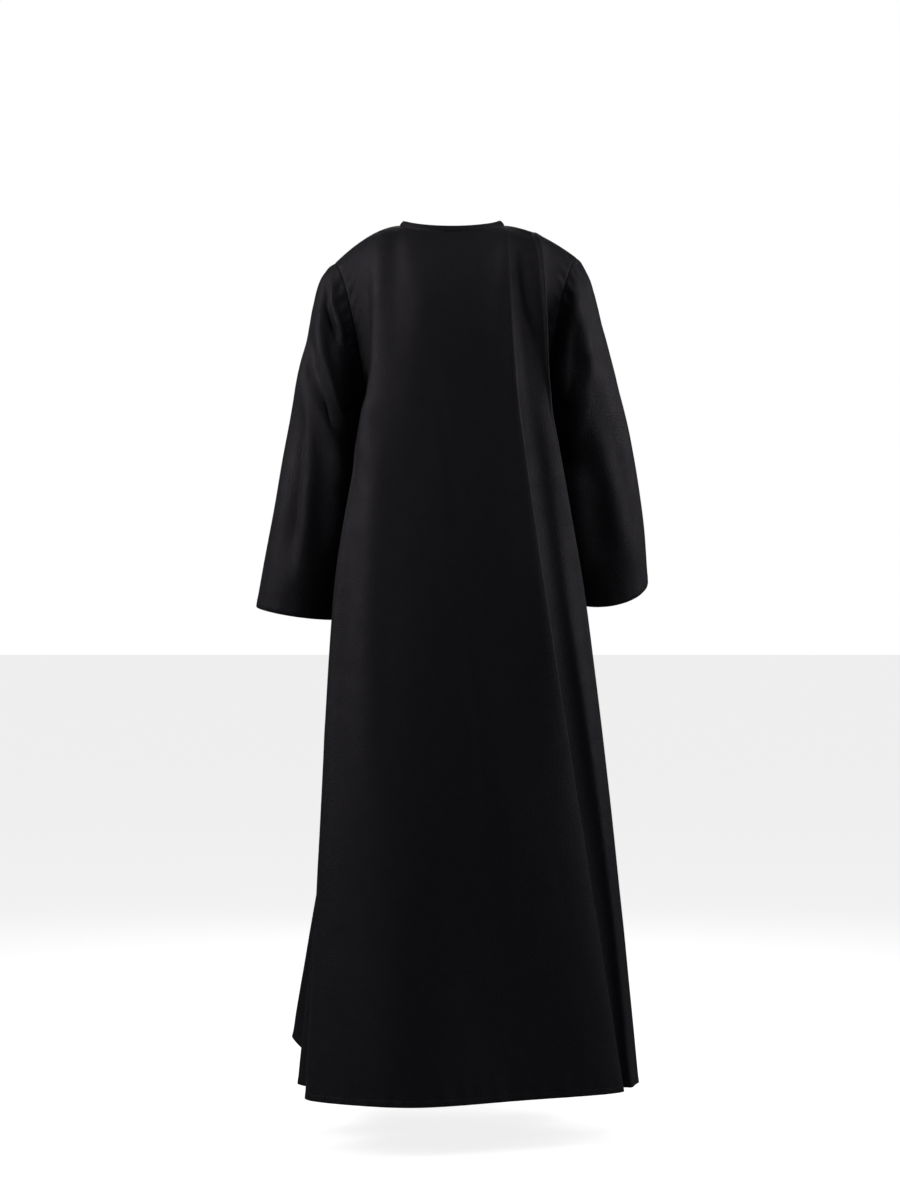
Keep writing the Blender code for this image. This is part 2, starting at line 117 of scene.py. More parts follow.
BACK_PANEL = (
    Fold("left_seam", 1.00, 4, 0, 136, 0, 156, -14, 186, -40, 208, -66, 0),
    Fold("left_side_fold", 0.90, 4, 0, 133, 34, 160, 34, 210, 18, 252, 8, 0),
    Fold("left_valley", 0.80, 4, -4, 130, 60, 164, 62, 192, 66, 204, 72, 0),
    Fold("left_ridge", 0.62, 5, 7, 142, 96, 190, 104, 212, 126, 233, 144, 0),
    Fold("left_back", 0.45, 4, 0, 102, 121, 136, 142, 148, 174, 146, 210, 0),
    Fold("back_crown", 0.20, 5, 0, 44, 129, 52, 156, 56, 188, 50, 228, 0),
    Fold("back_middle", -0.18, 4, 0, -36, 128, -38, 152, -44, 174, -50, 192, 0),
    Fold("right_back", -0.36, 4, -2, -80, 124, -98, 146, -128, 156, -146, 150, 0),
    Fold("right_ridge", -0.47, 3, 6, -108, 122, -151, 140, -214, 116, -277, 80, 0),
    Fold("right_valley", -0.57, 3, -6, -134, 104, -174, 108, -232, 80, -272, 44, 0),
    Fold("right_side_fold", -0.667, 4, 18, -160, 90, -213, 82, -263, 50, -304, 10, 2),
    Fold("behind_arm", -0.80, 5, -4, -140, 56, -176, 38, -226, 4, -262, -30, 0),
)
RIGHT_FRONT = (
    Fold("right_seam", -1.00, 4, 0, -146, 0, -170, -14, -212, -46, -232, -78, 0),
    Fold("front_flare", -0.90, 4, 0, -144, -66, -168, -90, -220, -122, -256, -140, 10),
    Fold("front_valley", -0.80, 4, 0, -128, -112, -142, -134, -164, -166, -184, -182, 0),
    Fold("bust_fold", -0.45, 4, 2, -94, -147, -102, -174, -122, -230, -140, -280, 6),
    Fold("front_flat", -0.16, 3, 0, -48, -152, -52, -173, -62, -205, -70, -238, 0),
)
FOLDS = LEFT_FRONT + BACK_PANEL + RIGHT_FRONT
COUNT = len(FOLDS)
LEFT_SEAM = len(LEFT_FRONT)
RIGHT_SEAM = LEFT_SEAM + len(BACK_PANEL)

Panel = namedtuple("Panel", "name first last side")
PANELS = (
    Panel("front_left", 0, LEFT_SEAM, FRONT),
    Panel("back", LEFT_SEAM, RIGHT_SEAM, BACK),
    Panel("front_right", RIGHT_SEAM, COUNT, FRONT),
)

# Sleeve stations, at shares of the way from the armhole to the cuff. outer and inner: x, z of the
# tube's two edges. depth: half its size along Y, about centre_y. tip: how far its back is below
# its middle, and its front above it. Sizes in mm.
Station = namedtuple("Station", "at outer_x outer_z inner_x inner_z depth centre_y tip")
LEFT_SLEEVE = (
    Station(0.00, 192, -52, 136, -300, 46, 0, 0),
    Station(0.08, 214, -77, 148, -301, 55, 0, 0),
    Station(0.22, 234, -150, 151, -330, 64, -2, 0),
    Station(0.42, 256, -250, 153, -395, 68, -8, 0),
    Station(0.62, 274, -350, 159, -468, 66, -16, 3),
    Station(0.82, 299, -486, 171, -546, 66, -26, 6),
    Station(1.00, 322, -612, 186, -632, 68, -36, 7),
)
RIGHT_SLEEVE = (
    Station(0.00, -204, -43, -146, -300, 46, 0, 0),
    Station(0.08, -225, -78, -158, -301, 55, 0, 0),
    Station(0.22, -246, -154, -162, -328, 64, -2, 0),
    Station(0.42, -271, -250, -164, -388, 68, -10, 4),
    Station(0.62, -295, -350, -169, -450, 66, -24, 12),
    Station(0.82, -314, -460, -180, -518, 65, -48, 22),
    Station(1.00, -325, -571, -192, -591, 65, -76, 31),
)

# Sleeve creases: a crest or a valley from one station and angle to another. Angles run from the
# outer edge, 0, over the back, 90, to the inner edge, 180. Height in mm, width in degrees.
Crease = namedtuple("Crease", "name start_at start_angle end_at end_angle height width")
LEFT_CREASES = (
    Crease("long_drag_crest", 0.06, 20, 0.56, 134, 4.0, 20),
    Crease("long_drag_valley", 0.12, -6, 0.64, 106, -4.0, 22),
    Crease("short_drag_crest", 0.02, 64, 0.32, 126, 2.0, 18),
    Crease("elbow_valley", 0.46, 190, 0.62, 134, -8.0, 22),
    Crease("front_drag", 0.05, 330, 0.50, 228, 8.0, 24),
    Crease("forearm_crest", 0.56, 56, 1.05, 80, 6.0, 28),
)
RIGHT_CREASES = (
    Crease("back_drag_valley", 0.08, 70, 0.36, 148, -3.0, 20),
    Crease("back_drag_crest", 0.10, 36, 0.48, 116, 3.0, 22),
    Crease("elbow_valley", 0.34, 186, 0.50, 128, -9.0, 20),
    Crease("front_drag", 0.05, 330, 0.50, 228, 8.0, 24),
    Crease("forearm_crest", 0.42, 40, 1.05, 58, 6.0, 28),
)
# Each sleeve's tables, and the sign that turns its grid's normals outwards
SLEEVES = (
    ("sleeve_left", LEFT_SLEEVE, LEFT_CREASES, 1),
    ("sleeve_right", RIGHT_SLEEVE, RIGHT_CREASES, -1),
)


def unit(vectors):
    return vectors / np.maximum(np.linalg.norm(vectors, axis=-1, keepdims=True), TINY)


def ease(amount):
    """0 to 1 with level ends."""
    amount = np.clip(amount, 0.0, 1.0)
    return amount * amount * (3.0 - 2.0 * amount)


def swell(along, grows=CREASE_GROWS, dies=CREASE_DIES):
    """Fades a crease in at its start and out at its end."""
    return ease(grows * along) * ease(dies * (1 - along))


def bell(distance, width):
    return np.exp(-((distance / width) ** 2))


def hermite(start, end, start_slope, end_slope, f):
    """A cubic between two values with these slopes over the whole step, read at f from 0 to 1."""
    g = 1 - f
    return (
        start * (1 + 2 * f) * g**2
        + end * f * f * (3 - 2 * f)
        + start_slope * f * g**2
        - end_slope * f * f * g
    )


def bezier(start, first, last, end, f):
    g = 1 - f
    return start * g**3 + 3 * first * f * g**2 + 3 * last * f**2 * g + end * f**3


def smooth_through(places, values, at):
    """A monotone cubic through values at rising places, read at every one of at."""
    places, values = np.asarray(places, float), np.asarray(values, float)
    at = np.atleast_1d(at)
    shape = (-1,) + (1,) * (values.ndim - 1)
    gaps = np.diff(places)
    rates = np.diff(values, axis=0) / gaps.reshape(shape)
    slopes = np.concatenate([rates[:1], np.zeros_like(rates[1:]), rates[-1:]])
    before, after = rates[:-1], rates[1:]
    same_way = before * after > 0
    total = np.where(same_way, before + after, 1.0)
    slopes[1:-1] = np.where(same_way, 2.0 * before * after / total, 0.0)
    spot = np.clip(np.searchsorted(places, at, side="right") - 1, 0, len(gaps) - 1)
    f = ((at - places[spot]) / gaps[spot]).reshape(shape)
    gap = gaps[spot].reshape(shape)
    return hermite(values[spot], values[spot + 1], gap * slopes[spot], gap * slopes[spot + 1], f)


# ---- the body


def fold_column(column):
    """A column of the fold table, carried on past both ends, and the places of its values."""
    values = np.array([getattr(fold, column) for fold in FOLDS], float)
    return np.arange(-1, COUNT + 2), np.concatenate([values[-1:], values, values[:2]])


def read_folds(column, places):
    """A column of the fold table, read at any place round the cloak, with straight steps."""
    return np.interp(places, *fold_column(column))


def read_folds_smooth(column, places):
    """The same, with smooth steps and the table's millimetres made metres."""
    rows, values = fold_column(column)
    return smooth_through(rows, values * MM, places)


def fold_plans(fraction):
    """Every fold line's x, y in plan, at a fraction of the way from the chest to the hem."""
    depth = CHEST + (HEM - CHEST) * fraction
    plans = np.array([fold[PLAN] for fold in FOLDS], float).reshape(-1, len(LEVELS), 2) * MM
    levels = [-level for level in LEVELS]
    return smooth_through(levels, plans.transpose(1, 0, 2), -depth)[0]


def section(plans, places):
    """A closed curve of even bending in plan through the fold lines, read at the columns."""
    steps = np.roll(plans, -1, axis=0) - plans
    gaps = np.sqrt(np.linalg.norm(steps, axis=1))
    gaps_before = np.roll(gaps, 1)
    slopes = steps / gaps[:, None] ** 2
    matrix = (
        np.diag(2 / gaps_before + 2 / gaps)
        + np.roll(np.diag(1 / gaps), 1, axis=1)
        + np.roll(np.diag(1 / gaps_before), -1, axis=1)
    )
    tangents = np.linalg.solve(matrix, 3 * (slopes + np.roll(slopes, 1, axis=0)))
    whole = np.floor(places)
    low = whole.astype(int) % COUNT
    high = (low + 1) % COUNT
    f = (places - whole)[:, None]
    step = gaps[low][:, None]
    return hermite(plans[low], plans[high], step * tangents[low], step * tangents[high], f)


def skirt(places, fractions):
    """The cloth from the chest ring down to the hem, as a grid of rows and columns."""
    lift = read_folds_smooth("lift", places)
    rows = []
    for fraction in fractions:
        plan = section(fold_plans(fraction), places)
        rows.append(np.column_stack([plan, CHEST + fraction * (HEM + lift - CHEST)]))
    return np.array(rows)


def top_edge(top, side):
    """The neckline and the two shoulder seams: top is 0 at the middle and 1 or -1 at an armhole."""
    reach = np.clip((np.abs(top) - NECK_TOP) / (1 - NECK_TOP), 0, 1)
    point_x, point_z = np.where(top[:, None] > 0, SHOULDER_LEFT, SHOULDER_RIGHT).T
    neck_x = np.where(top > 0, NECK_HALF, -NECK_HALF)
    seam_x = neck_x + (point_x - neck_x) * reach
    seam_z = NECK_RISE + (point_z - NECK_RISE) * reach**SHOULDER_CURVE
    seam = np.column_stack([seam_x, np.zeros_like(top), seam_z])
    turn = top / NECK_TOP * np.pi / 2
    around = np.cos(np.clip(turn, -np.pi / 2, np.pi / 2))
    depth, drop = (NECK_BACK, NECK_BACK_DROP) if side == BACK else (NECK_FRONT, NECK_FRONT_DROP)
    neck_z = NECK_RISE - drop * around**NECK_CURVE
    neck = np.column_stack([NECK_HALF * np.sin(turn), side * depth * around, neck_z])
    return np.where((np.abs(top) >= NECK_TOP)[:, None], seam, neck)


def drape(places, side, f):
    """Falls of cloth from the neck and shoulder edge, smoothly into the chest ring, at every share
    of the way in f, one for each row of the grid."""
    top = read_folds("top", places)
    start = top_edge(top, side)
    chest, below = skirt(places, (0.0, JUST_BELOW))
    long = np.linalg.norm(chest - start, axis=1, keepdims=True)
    neckward = ease(1 - np.abs(top) / NECK_TOP)[:, None]
    over_shoulder = np.array([0.0, side * OVER_SHOULDER[0], OVER_SHOULDER[1]])
    off_neck = np.array([0.0, side * OFF_NECKLINE[0], OFF_NECKLINE[1]])
    first = start + unit(over_shoulder + (off_neck - over_shoulder) * neckward) * long * LEAVING
    last = chest + unit(chest - below) * long * ARRIVING
    blade = read_folds_smooth("blade", places)[:, None]
    out = unit(np.column_stack([chest[:, :2], np.ones_like(top)]) * BLADE_WAY) * blade
    return bezier(start, first, last, chest, f) + out * np.sin(np.pi * f)


def yoke(places, side, f):
    """The cloth from the neck and shoulder edge to the chest ring, cut away at the armholes."""
    top = read_folds("top", places)
    rows = drape(places, side, f)
    start, chest = top_edge(top, side), skirt(places, (0.0,))[0]
    for hand in (1, -1):
        near = hand * top > ARM_TOP
        if not near.any():
            continue
        order = np.argsort(top)
        ends = np.interp([hand * ARM_TOP, hand * 1.0], top[order], places[order])
        chord_start = top_edge(hand * np.array([ARM_TOP, 1.0]), side)
        chord_chest = skirt(ends, (0.0,))[0]
        edge_start, edge_chest = chord_start[1], chord_chest[1]
        turned = np.array([hand, side, 1.0])
        first, last = edge_start + turned * ARMHOLE_TOP, edge_chest + turned * ARMHOLE_BASE
        into = ((np.abs(top[near]) - ARM_TOP) / (1 - ARM_TOP))[:, None]
        off_start = start[near] - (chord_start[0] * (1 - into) + edge_start * into)
        off_chest = chest[near] - (chord_chest[0] * (1 - into) + edge_chest * into)
        valley, armhole = drape(ends[:1], side, f), bezier(edge_start, first, last, edge_chest, f)
        eased = valley * (1 - into) + armhole * into
        rows[:, near] = eased + off_start * (1 - f) ** 2 + off_chest * f**2
    return rows


def normals_of(grid, closed=False):
    """Each grid point's normal, pointing out of the cloak."""
    down = np.gradient(grid, axis=0)
    if closed:
        across = np.roll(grid, -1, axis=1) - np.roll(grid, 1, axis=1)
    else:
        across = np.gradient(grid, axis=1)
    return unit(np.cross(down, across))


def spread_lap(grid, normals, places):
    """Parts the two fronts where they lap: the right one lies outside the left one."""
    left, right = 1 - ease(places), 1 - ease(COUNT - places)
    down = ease(np.linspace(0, 1, len(grid)))
    spread = LAP_SPREAD[0] + (LAP_SPREAD[1] - LAP_SPREAD[0]) * down
    return grid + normals * (spread[:, None] * (right - left))[:, :, None]


def drawn_in(grid, amount, closed=False):
    """Draws a piece's edges in along the cloth, so that it stays clear of its neighbours."""
    moved = grid.copy()
    ways = [(grid, moved)]
    if not closed:
        ways.append((grid.swapaxes(0, 1), moved.swapaxes(0, 1)))
    for lines, target in ways:
        for edge, into in ((0, 1), (-1, -2)):
            inward = unit(lines[into] - lines[edge])
            along = unit(np.gradient(lines[edge], axis=0))
            target[edge] += unit(inward - along * (inward * along).sum(1, keepdims=True)) * amount
    return moved


# ---- the sleeves


def ring_turns(armhole):
    """Each ring point's angle round the sleeve, by its run along each half of the armhole."""
    count = len(armhole)
    steps = np.linalg.norm(armhole - np.roll(armhole, 1, axis=0), axis=1)
    turn = np.empty(count)
    for first, last in ((0, count // 2), (count // 2, count)):
        run = np.concatenate([[0], np.cumsum(steps[np.arange(first + 1, last + 1) % count])])
        turn[first:last] = np.pi * (first > 0) + np.pi * run[:-1] / run[-1]
    return turn


def off_angle(angles):
    """Angles in degrees, as -180 to 180."""
    return (angles + 180) % 360 - 180


def sleeve(stations, creases, armhole, turn):
    """A tube from the armhole to the cuff, whose first ring is the armhole itself."""
    table = np.array(stations, float)
    at = np.linspace(0, 1, SLEEVE_FINE + 1)
    at = EVEN_RINGS * at + (1 - EVEN_RINGS) * at**RING_CROWDING
    sizes = smooth_through(table[:, 0], table[:, 1:] * MM, at).T
    outer_x, outer_z, inner_x, inner_z, deep, centre_y, tip = sizes
    outer = np.column_stack([outer_x, centre_y, outer_z])
    inner = np.column_stack([inner_x, centre_y, inner_z])
    middle, half = (outer + inner) / 2, (outer - inner) / 2
    depth = np.column_stack([0 * at, deep, -tip])
    tube = (
        middle[:, None]
        + half[:, None] * np.cos(turn)[None, :, None]
        + depth[:, None] * np.sin(turn)[None, :, None]
    )
    out = unit(tube - middle[:, None])
    for crease in creases:
        along = (at - crease.start_at) / (crease.end_at - crease.start_at)
        centre = crease.start_angle + along * (crease.end_angle - crease.start_angle)
        away = off_angle(np.degrees(turn)[None] - centre[:, None])
        height = crease.height * MM * bell(away, crease.width) * swell(along)[:, None]
        tube += out * height[:, :, None]
    fade = 1 - ease(at / ARMHOLE_FADE)
    tube += (armhole - tube[0])[None] * fade[:, None, None]
    return tube


def armhole_of(back_edge, front_edge):
    """The armhole's loop: down the back piece's edge, and up the front piece's edge."""
    return np.concatenate([back_edge[:YOKE_ROWS], front_edge[YOKE_ROWS:0:-1]])


def share_normals(pieces):
    """Gives pieces that meet at a seam point the same normal there, so that their ends are parallel."""
    total = {}
    rounded = [np.round(grid.reshape(-1, 3), SEAM_DECIMALS) for grid, _, _ in pieces]
    keys = [[tuple(point) for point in points] for points in rounded]
    for (_, normals, _), spots in zip(pieces, keys):
        for key, normal in zip(spots, normals.reshape(-1, 3)):
            total[key] = total.get(key, 0) + normal
    for (_, normals, _), spots in zip(pieces, keys):
        normals[:] = unit(np.array([total[key] for key in spots])).reshape(normals.shape)


def binding_of(panels):
    """The strip that binds the neckline, made from the top rows of the three panels."""
    edge, out = [], []
    for grid, normals, places in panels:
        neck = np.abs(read_folds("top", places)) <= NECK_TOP + TOP_CLOSE
        edge.append(grid[0, neck])
        out.append(normals[0, neck])
    edge, out = (np.concatenate([one, two[1:], three[1:]]) for one, two, three in (edge, out))
    along = unit(np.gradient(edge, axis=0))
    rise = unit(unit(np.cross(out, along)) + np.array([0, 0, BINDING_RISE]))
    heights = SEAM_GAP + BINDING_HEIGHT * np.arange(BINDING_ROWS + 1) / BINDING_ROWS
    grid = edge[None] + rise[None] * heights[::-1, None, None]
    stand = grid[:1] - grid[-1:]
    for _ in range(BINDING_ROUNDS):
        even = (np.roll(stand, 1, axis=1) + np.roll(stand, -1, axis=1)) / 2
        stand[:, 1:-1] += (even - stand)[:, 1:-1] / 2
    grid = grid[-1:] + stand * np.linspace(1, 0, len(grid))[:, None, None]
    normals = normals_of(grid)
    normals[-1] = out
    return grid, normals


# ---- fine cloth

# Cloth thickness on each side of the middle surface, in metres
CLOTH_OUT, CLOTH_IN = 0.0004, 0.0004
TINY_GAP = 0.00005  # half of what parts two pieces at a seam
RIM_ROUND = 0.35  # how far a free edge is rounded out, as a share of its thickness
SHARP = 60  # degrees: edges that turn further are shaded sharp

# Finer grid than the solids': columns for each of theirs, columns of a lap, and rows
FINE, FINER = 4, 6
CRISP = (13, 15)  # fold lines whose columns are finer and crowd to them by a power
CROWD = 1.4
FINE_LAP = 8
YOKE_FINE, SKIRT_FINE, SLEEVE_FINE = 64, 104, 112
SEAM_STEPS = (0.12, 0.32, 0.62)  # extra rows and columns inside the step that meets a seam

# Turned hems: depth of the turned edge, the step at it, its stitches, and rows of the grid above
# the free edge, with the last even row this far above them. Then how much thicker a hem is, and
# its stitches' and the seams' grooves and pressed allowances. Along the cloth these are in mm,
# and through it in metres.
HEM_DEPTH, HEM_STEP, STITCH_LINE = 12.5, 1.2, 10.5
HEM_ROWS = (20, 16, 13.6, 12.8, 12.2, 11.2, 10.5, 9.8, 8.6, 6, 3.4, 1.6, 0.5, 0)
ABOVE_HEM_ROWS = 6
HEM_THICKER_OUT, HEM_THICKER_IN = 0.00025, 0.0006
STITCH_SINK, STITCH_WIDTH = 0.0005, 1.1
SEAM_SINK, SEAM_WIDTH = 0.0010, 3.2
ALLOWANCE, ALLOWANCE_STEP, ALLOWANCE_THICK = 9.0, 1.5, 0.0005

# Rounds of evening out across the yoke, and how far inside its edges it is in full, in metres
SOFT_ROUNDS = 60
SOFT_BELOW, SOFT_BESIDE, SOFT_ABOVE_CHEST = 0.045, 0.040, 0.080


def with_seam_steps(places, first, last):
    """Adds the extra places inside the first and last step."""
    extra = []
    if first:
        extra += [places[0] + (places[1] - places[0]) * step for step in SEAM_STEPS]
    if last:
        extra += [places[-1] - (places[-1] - places[-2]) * step for step in SEAM_STEPS]
    return np.unique(np.concatenate([places, extra]))


# Grid rows: shares of the way from the top edge to the chest, and from the chest to the hem
DROP = (CHEST - HEM) / MM
YOKE_SHARES = with_seam_steps(np.arange(YOKE_FINE + 1) / YOKE_FINE, True, True)[:-1]
YOKE_ROWS = len(YOKE_SHARES)
EVEN_SHARES = np.linspace(0, 1 - (HEM_ROWS[0] + ABOVE_HEM_ROWS) / DROP, SKIRT_FINE)
SKIRT_SHARES = np.concatenate([EVEN_SHARES, 1 - np.array(HEM_ROWS) / DROP])


def fine_places(first, last):
    """The panel's columns as places on the list of fold lines, closer at its seams."""
    places = []
    for index in range(first, last):
        count = FOLDS[index].steps * (FINER if {index, index + 1} & set(CRISP) else FINE)
        share = np.arange(count) / count
        if index in CRISP and index + 1 not in CRISP:
            share = share**CROWD
        elif index + 1 in CRISP and index not in CRISP:
            share = 1 - (1 - share) ** CROWD
        places += list(index + share)
    places = with_seam_steps(np.array(places + [last], float), first > 0, last < COUNT)
    lap = LAP * np.arange(1, FINE_LAP + 1) / FINE_LAP
    before = -lap[::-1] if first == 0 else []
    after = COUNT + lap if last == COUNT else []
    return np.concatenate([before, places, after])


def along_columns(grid, start=0):
    """Distance down each column from the row start, in metres."""
    steps = np.linalg.norm(np.diff(grid, axis=0), axis=2)
    run = np.concatenate([np.zeros((1, grid.shape[1])), np.cumsum(steps, axis=0)])
    return run - run[start]


def along_rows(grid, start=0):
    return along_columns(grid.swapaxes(0, 1), start).T


def softened(grid):
    """Evens the yoke out across, below the corners of the neckline. Its edges stay."""
    down, across = along_columns(grid), along_rows(grid)
    edge = np.minimum(across, across[:, -1:] - across)
    share = ease(down / SOFT_BELOW) * ease(edge / SOFT_BESIDE)
    share = (share * ease((down[YOKE_ROWS] - down) / SOFT_ABOVE_CHEST))[:, 1:-1, None]
    soft = grid.copy()
    for _ in range(SOFT_ROUNDS):
        even = (soft[:, :-2] + soft[:, 2:]) / 2
        soft[:, 1:-1] += (even - soft[:, 1:-1]) * share / 2
    return soft


# ---- folds laid on the cloth

# Creases by piece, as seen from straight behind or in front, or at 0 from both. route: x and z of
# each of its points. height: of its crest, below 0 for a trough. width: half width. beside, deep:
# how far to the wearer's left of the crest a trough runs, and its depth. All in mm.
Fall = namedtuple("Fall", "name route height width beside deep", defaults=(0, 0))
FALLS = {
    ("back", BACK): (
        Fall("under_scarf", (-112, -33, -119, -86, -126, -128, -147, -204), 3, 8, 12, 2),
        Fall("centre_soft", (22, -236, 5, -379, -8, -538, -46, -840, -62, -1028), -0.9, 9, 14, -0.6),
        Fall("left_band", (116, -230, 124, -380, 132, -540, 138, -700, 132, -940), 4, 26, 34, 5),
    ),
    ("back", 0): (
        Fall("underarm", (134, -270, 142, -310, 147, -345, 152, -400), 3.5, 16),
    ),
    ("sleeve_left", BACK): (
        Fall("shoulder_crest", (192, -75, 193, -124, 186, -145, 176, -173, 169, -196), 7, 6.5, 11, 7),
        Fall(
            "long_crest", (212, -106, 212, -166, 208, -204, 197, -242, 187, -278, 172, -313, 163, -340),
            9, 8.5,
        ),
        Fall("long_trough", (236, -150, 233, -220, 218, -262, 203, -298, 188, -330, 179, -352), -14, 9),
        Fall("outer_crest", (232, -199, 230, -290, 232, -404, 238, -497, 244, -572), 5, 15),
        Fall("outer_step", (244, -250, 248, -330, 250, -410, 252, -456, 259, -537, 262, -585), -7, 9),
        Fall(
            "outer_plane", (250, -250, 254, -330, 259, -410, 263, -456, 271, -537, 276, -585),
            -13, 15,
        ),
        Fall("notch", (152, -290, 166, -292, 178, -302), -13, 6),
        Fall("inner_full", (178, -330, 178, -390, 184, -460, 190, -560), 9, 19),
    ),
    ("sleeve_left", 0): (
        Fall("underarm", (142, -270, 148, -305, 150, -340, 154, -400), 5, 14),
    ),
    ("sleeve_right", BACK): (
        Fall("head_crest", (-184, -55, -198, -116, -210, -155, -222, -221, -230, -268), 6, 12, -20, 3),
        Fall("head_edge", (-208, -50, -223, -82, -229, -106), 2, 4),
        Fall("upper_trough", (-190, -145, -187, -175, -175, -201, -160, -226), -3, 11),
        Fall("lower_trough", (-214, -199, -207, -230, -198, -252, -184, -268), -3, 12),
        Fall("notch", (-154, -288, -172, -287, -189, -291), -13, 6),
        Fall("low_crest", (-230, -294, -247, -383, -260, -428, -271, -495, -282, -553), 5, 18, -26, 3),
        Fall("inner_shade", (-168, -327, -175, -360, -186, -400), -4, 14),
        Fall("inner_high", (-184, -80, -180, -150, -178, -230, -184, -310), 12, 23),
        Fall("inner_full", (-190, -370, -198, -450, -207, -520, -214, -590), 15, 25),
    ),
    ("front_left", FRONT): (
        Fall("bust_drag", (154, -84, 134, -150, 112, -216, 100, -262), -2.5, 13, -20, -1.5),
        Fall("bust_soft", (92, -400, 104, -600, 120, -860, 140, -1180), 3, 18, 30, 2),
        Fall("edge_soft", (34, -560, 40, -800, 46, -1100, 44, -1330), -1.5, 14, 24, -1.2),
    ),
    ("sleeve_left", FRONT): (
        Fall("elbow_high", (188, -322, 214, -336, 246, -366), -5, 9),
        Fall("elbow_low", (186, -372, 212, -378, 240, -396), -4, 8),
        Fall("long_drag", (226, -110, 222, -180, 206, -240, 186, -290), 4, 12, 18, 4),
    ),
    ("front_right", FRONT): (
        Fall("bust_drag", (-160, -76, -142, -140, -120, -206, -106, -258), -3, 13, 20, -2),
        Fall("bust_soft", (-88, -470, -104, -700, -122, -960, -136, -1240), 3, 20, -32, 2),
        Fall("edge_soft", (-40, -420, -50, -640, -52, -900, -60, -1180), -1.5, 15, -26, -1.2),
    ),
    ("sleeve_right", FRONT): (
        Fall("elbow_high", (-190, -318, -220, -336, -252, -372), -5, 9),
        Fall("elbow_low", (-196, -366, -224, -380, -256, -404), -4, 8),
        Fall("long_drag", (-222, -96, -226, -170, -214, -236, -196, -286), 4, 12, -18, 4),
    ),
}
TROUGH_WIDTH = 0.55  # a trough's half width, as a share of how far it runs from its crest
# A crease on one side fades out where the cloth turns to the other: by this much of its normal's
# share that way, from this value where the cloth is edge on
FACING, EDGE_ON = 2.5, 0.3

# Folds that stand proud of the cloth beside them, along a fold line of the panel: its place on the
# list of fold lines, the side that drops away (1 is towards the wearer's right on the back), the
# drop at three heights, how far the drop takes to fall and to recover, and the share of it by which
# the cloth beyond lies proud, as a flatter shelf. Sizes in mm.
Overhang = namedtuple("Overhang", "name piece place side z1 drop1 z2 drop2 z3 drop3 fall recover shelf")
OVERHANGS = (
    Overhang("long_fold", "back", 13, 1, -220, 2, -700, 13, -1391, 20, 6, 42, 0.85),
    Overhang("shoulder_fold", "back", 15, -1, -10, 7, -160, 8, -420, 0, 8, 30, 0.0),
)
BEFORE_LINE = 1 / 3  # of the drop's fall that lies on the near side of the fold line
SHELF_WIDTH = 0.5  # half the shelf's width, as a share of the recovery

# Small creases that the eye doesn't single out, laid by a fixed seed between these limits, in mm.
# On the body they lean a little and flare with the cut; on a sleeve they start and run by shares
# of its length, and twist and width are degrees. They fade over 1 / FAINT_FADES of their length.
FAINT_BODY, FAINT_SLEEVE, FAINT_FADES = 60, 34, 2
FAINT_HEIGHT, FAINT_WIDTH, FAINT_LENGTH = (0.25, 0.9), (9, 26), (70, 320)
FAINT_LEAN, FAINT_FLARE, FAINT_BEND = (-0.16, 0.16), 0.22, (-8, 8)
SLEEVE_START, SLEEVE_RUN, SLEEVE_TWIST, SLEEVE_WIDTH = (-0.1, 0.9), (0.15, 0.5), (-70, 70), (8, 20)

# Puckers in uneven waves beside a seam or hem. height: of the highest. at, width: the middle of
# their band and its half width, from the seam or edge. short, long: limits between like waves. In mm.
Pucker = namedtuple("Pucker", "height at width short long")
HEM_PUCKER = Pucker(0.9, 14, 16, 24, 46)
ARMHOLE_PUCKER = Pucker(1.3, 9, 8, 16, 34)
HEAD_PUCKER = Pucker(2.1, 11, 9, 14, 30)
CUFF_PUCKER = Pucker(0.5, 13, 14, 24, 46)
PUCKER_HEIGHTS = (0.3, 1.0)  # shares of the height
BELOW_ARMHOLE = 0.25  # share of the armhole's puckers that goes on down the side seams

# How far inside a piece's edges what is laid on it is in full, in mm
BACK_FADE, FRONT_FADE, SLEEVE_FADE = 30, 50, 35
HEM_FADE, TOP_FADE, ARMHOLE_PUCKER_FADE, HEAD_PUCKER_FADE = 30, 20, 6, 7
FAR = 1e3  # stands for the distance from a seam that isn't there


def from_line(points, route):
    """Distance from a bent line, how far along it from 0 to 1, and the side: 1 is +X of a line down."""
    route = np.reshape(route, (-1, 2)).astype(float)
    steps = np.diff(route, axis=0)
    lengths = np.linalg.norm(steps, axis=1)
    ways = steps / lengths[:, None]
    off = points[..., None, :] - route[:-1]
    run = np.clip((off * ways).sum(-1), 0, lengths)
    off = off - ways * run[..., None]
    far = np.linalg.norm(off, axis=-1)
    along = (np.cumsum(lengths) - lengths + run) / lengths.sum()
    side = np.sign(off[..., 1] * ways[:, 0] - off[..., 0] * ways[:, 1])
    nearest = far.argmin(-1)[..., None]
    return [np.take_along_axis(part, nearest, -1)[..., 0] for part in (far, along, side)]


def laid_falls(name, grid, normals):
    """How far each point of a piece stands out for the creases placed on it, in mm."""
    flat = grid[:, :, [0, 2]] / MM
    total = np.zeros(grid.shape[:2])
    for (piece, seen_from), falls in FALLS.items():
        seen = ease(FACING * seen_from * normals[:, :, 1] + EDGE_ON) if seen_from else 1.0
        for fall in falls if piece == name else ():
            off, along, side = from_line(flat, fall.route)
            crest = fall.height * bell(off, fall.width)
            if fall.deep:
                width = abs(fall.beside) * TROUGH_WIDTH
                crest -= fall.deep * bell(off * side - fall.beside, width)
            total += crest * swell(along) * seen
    return total


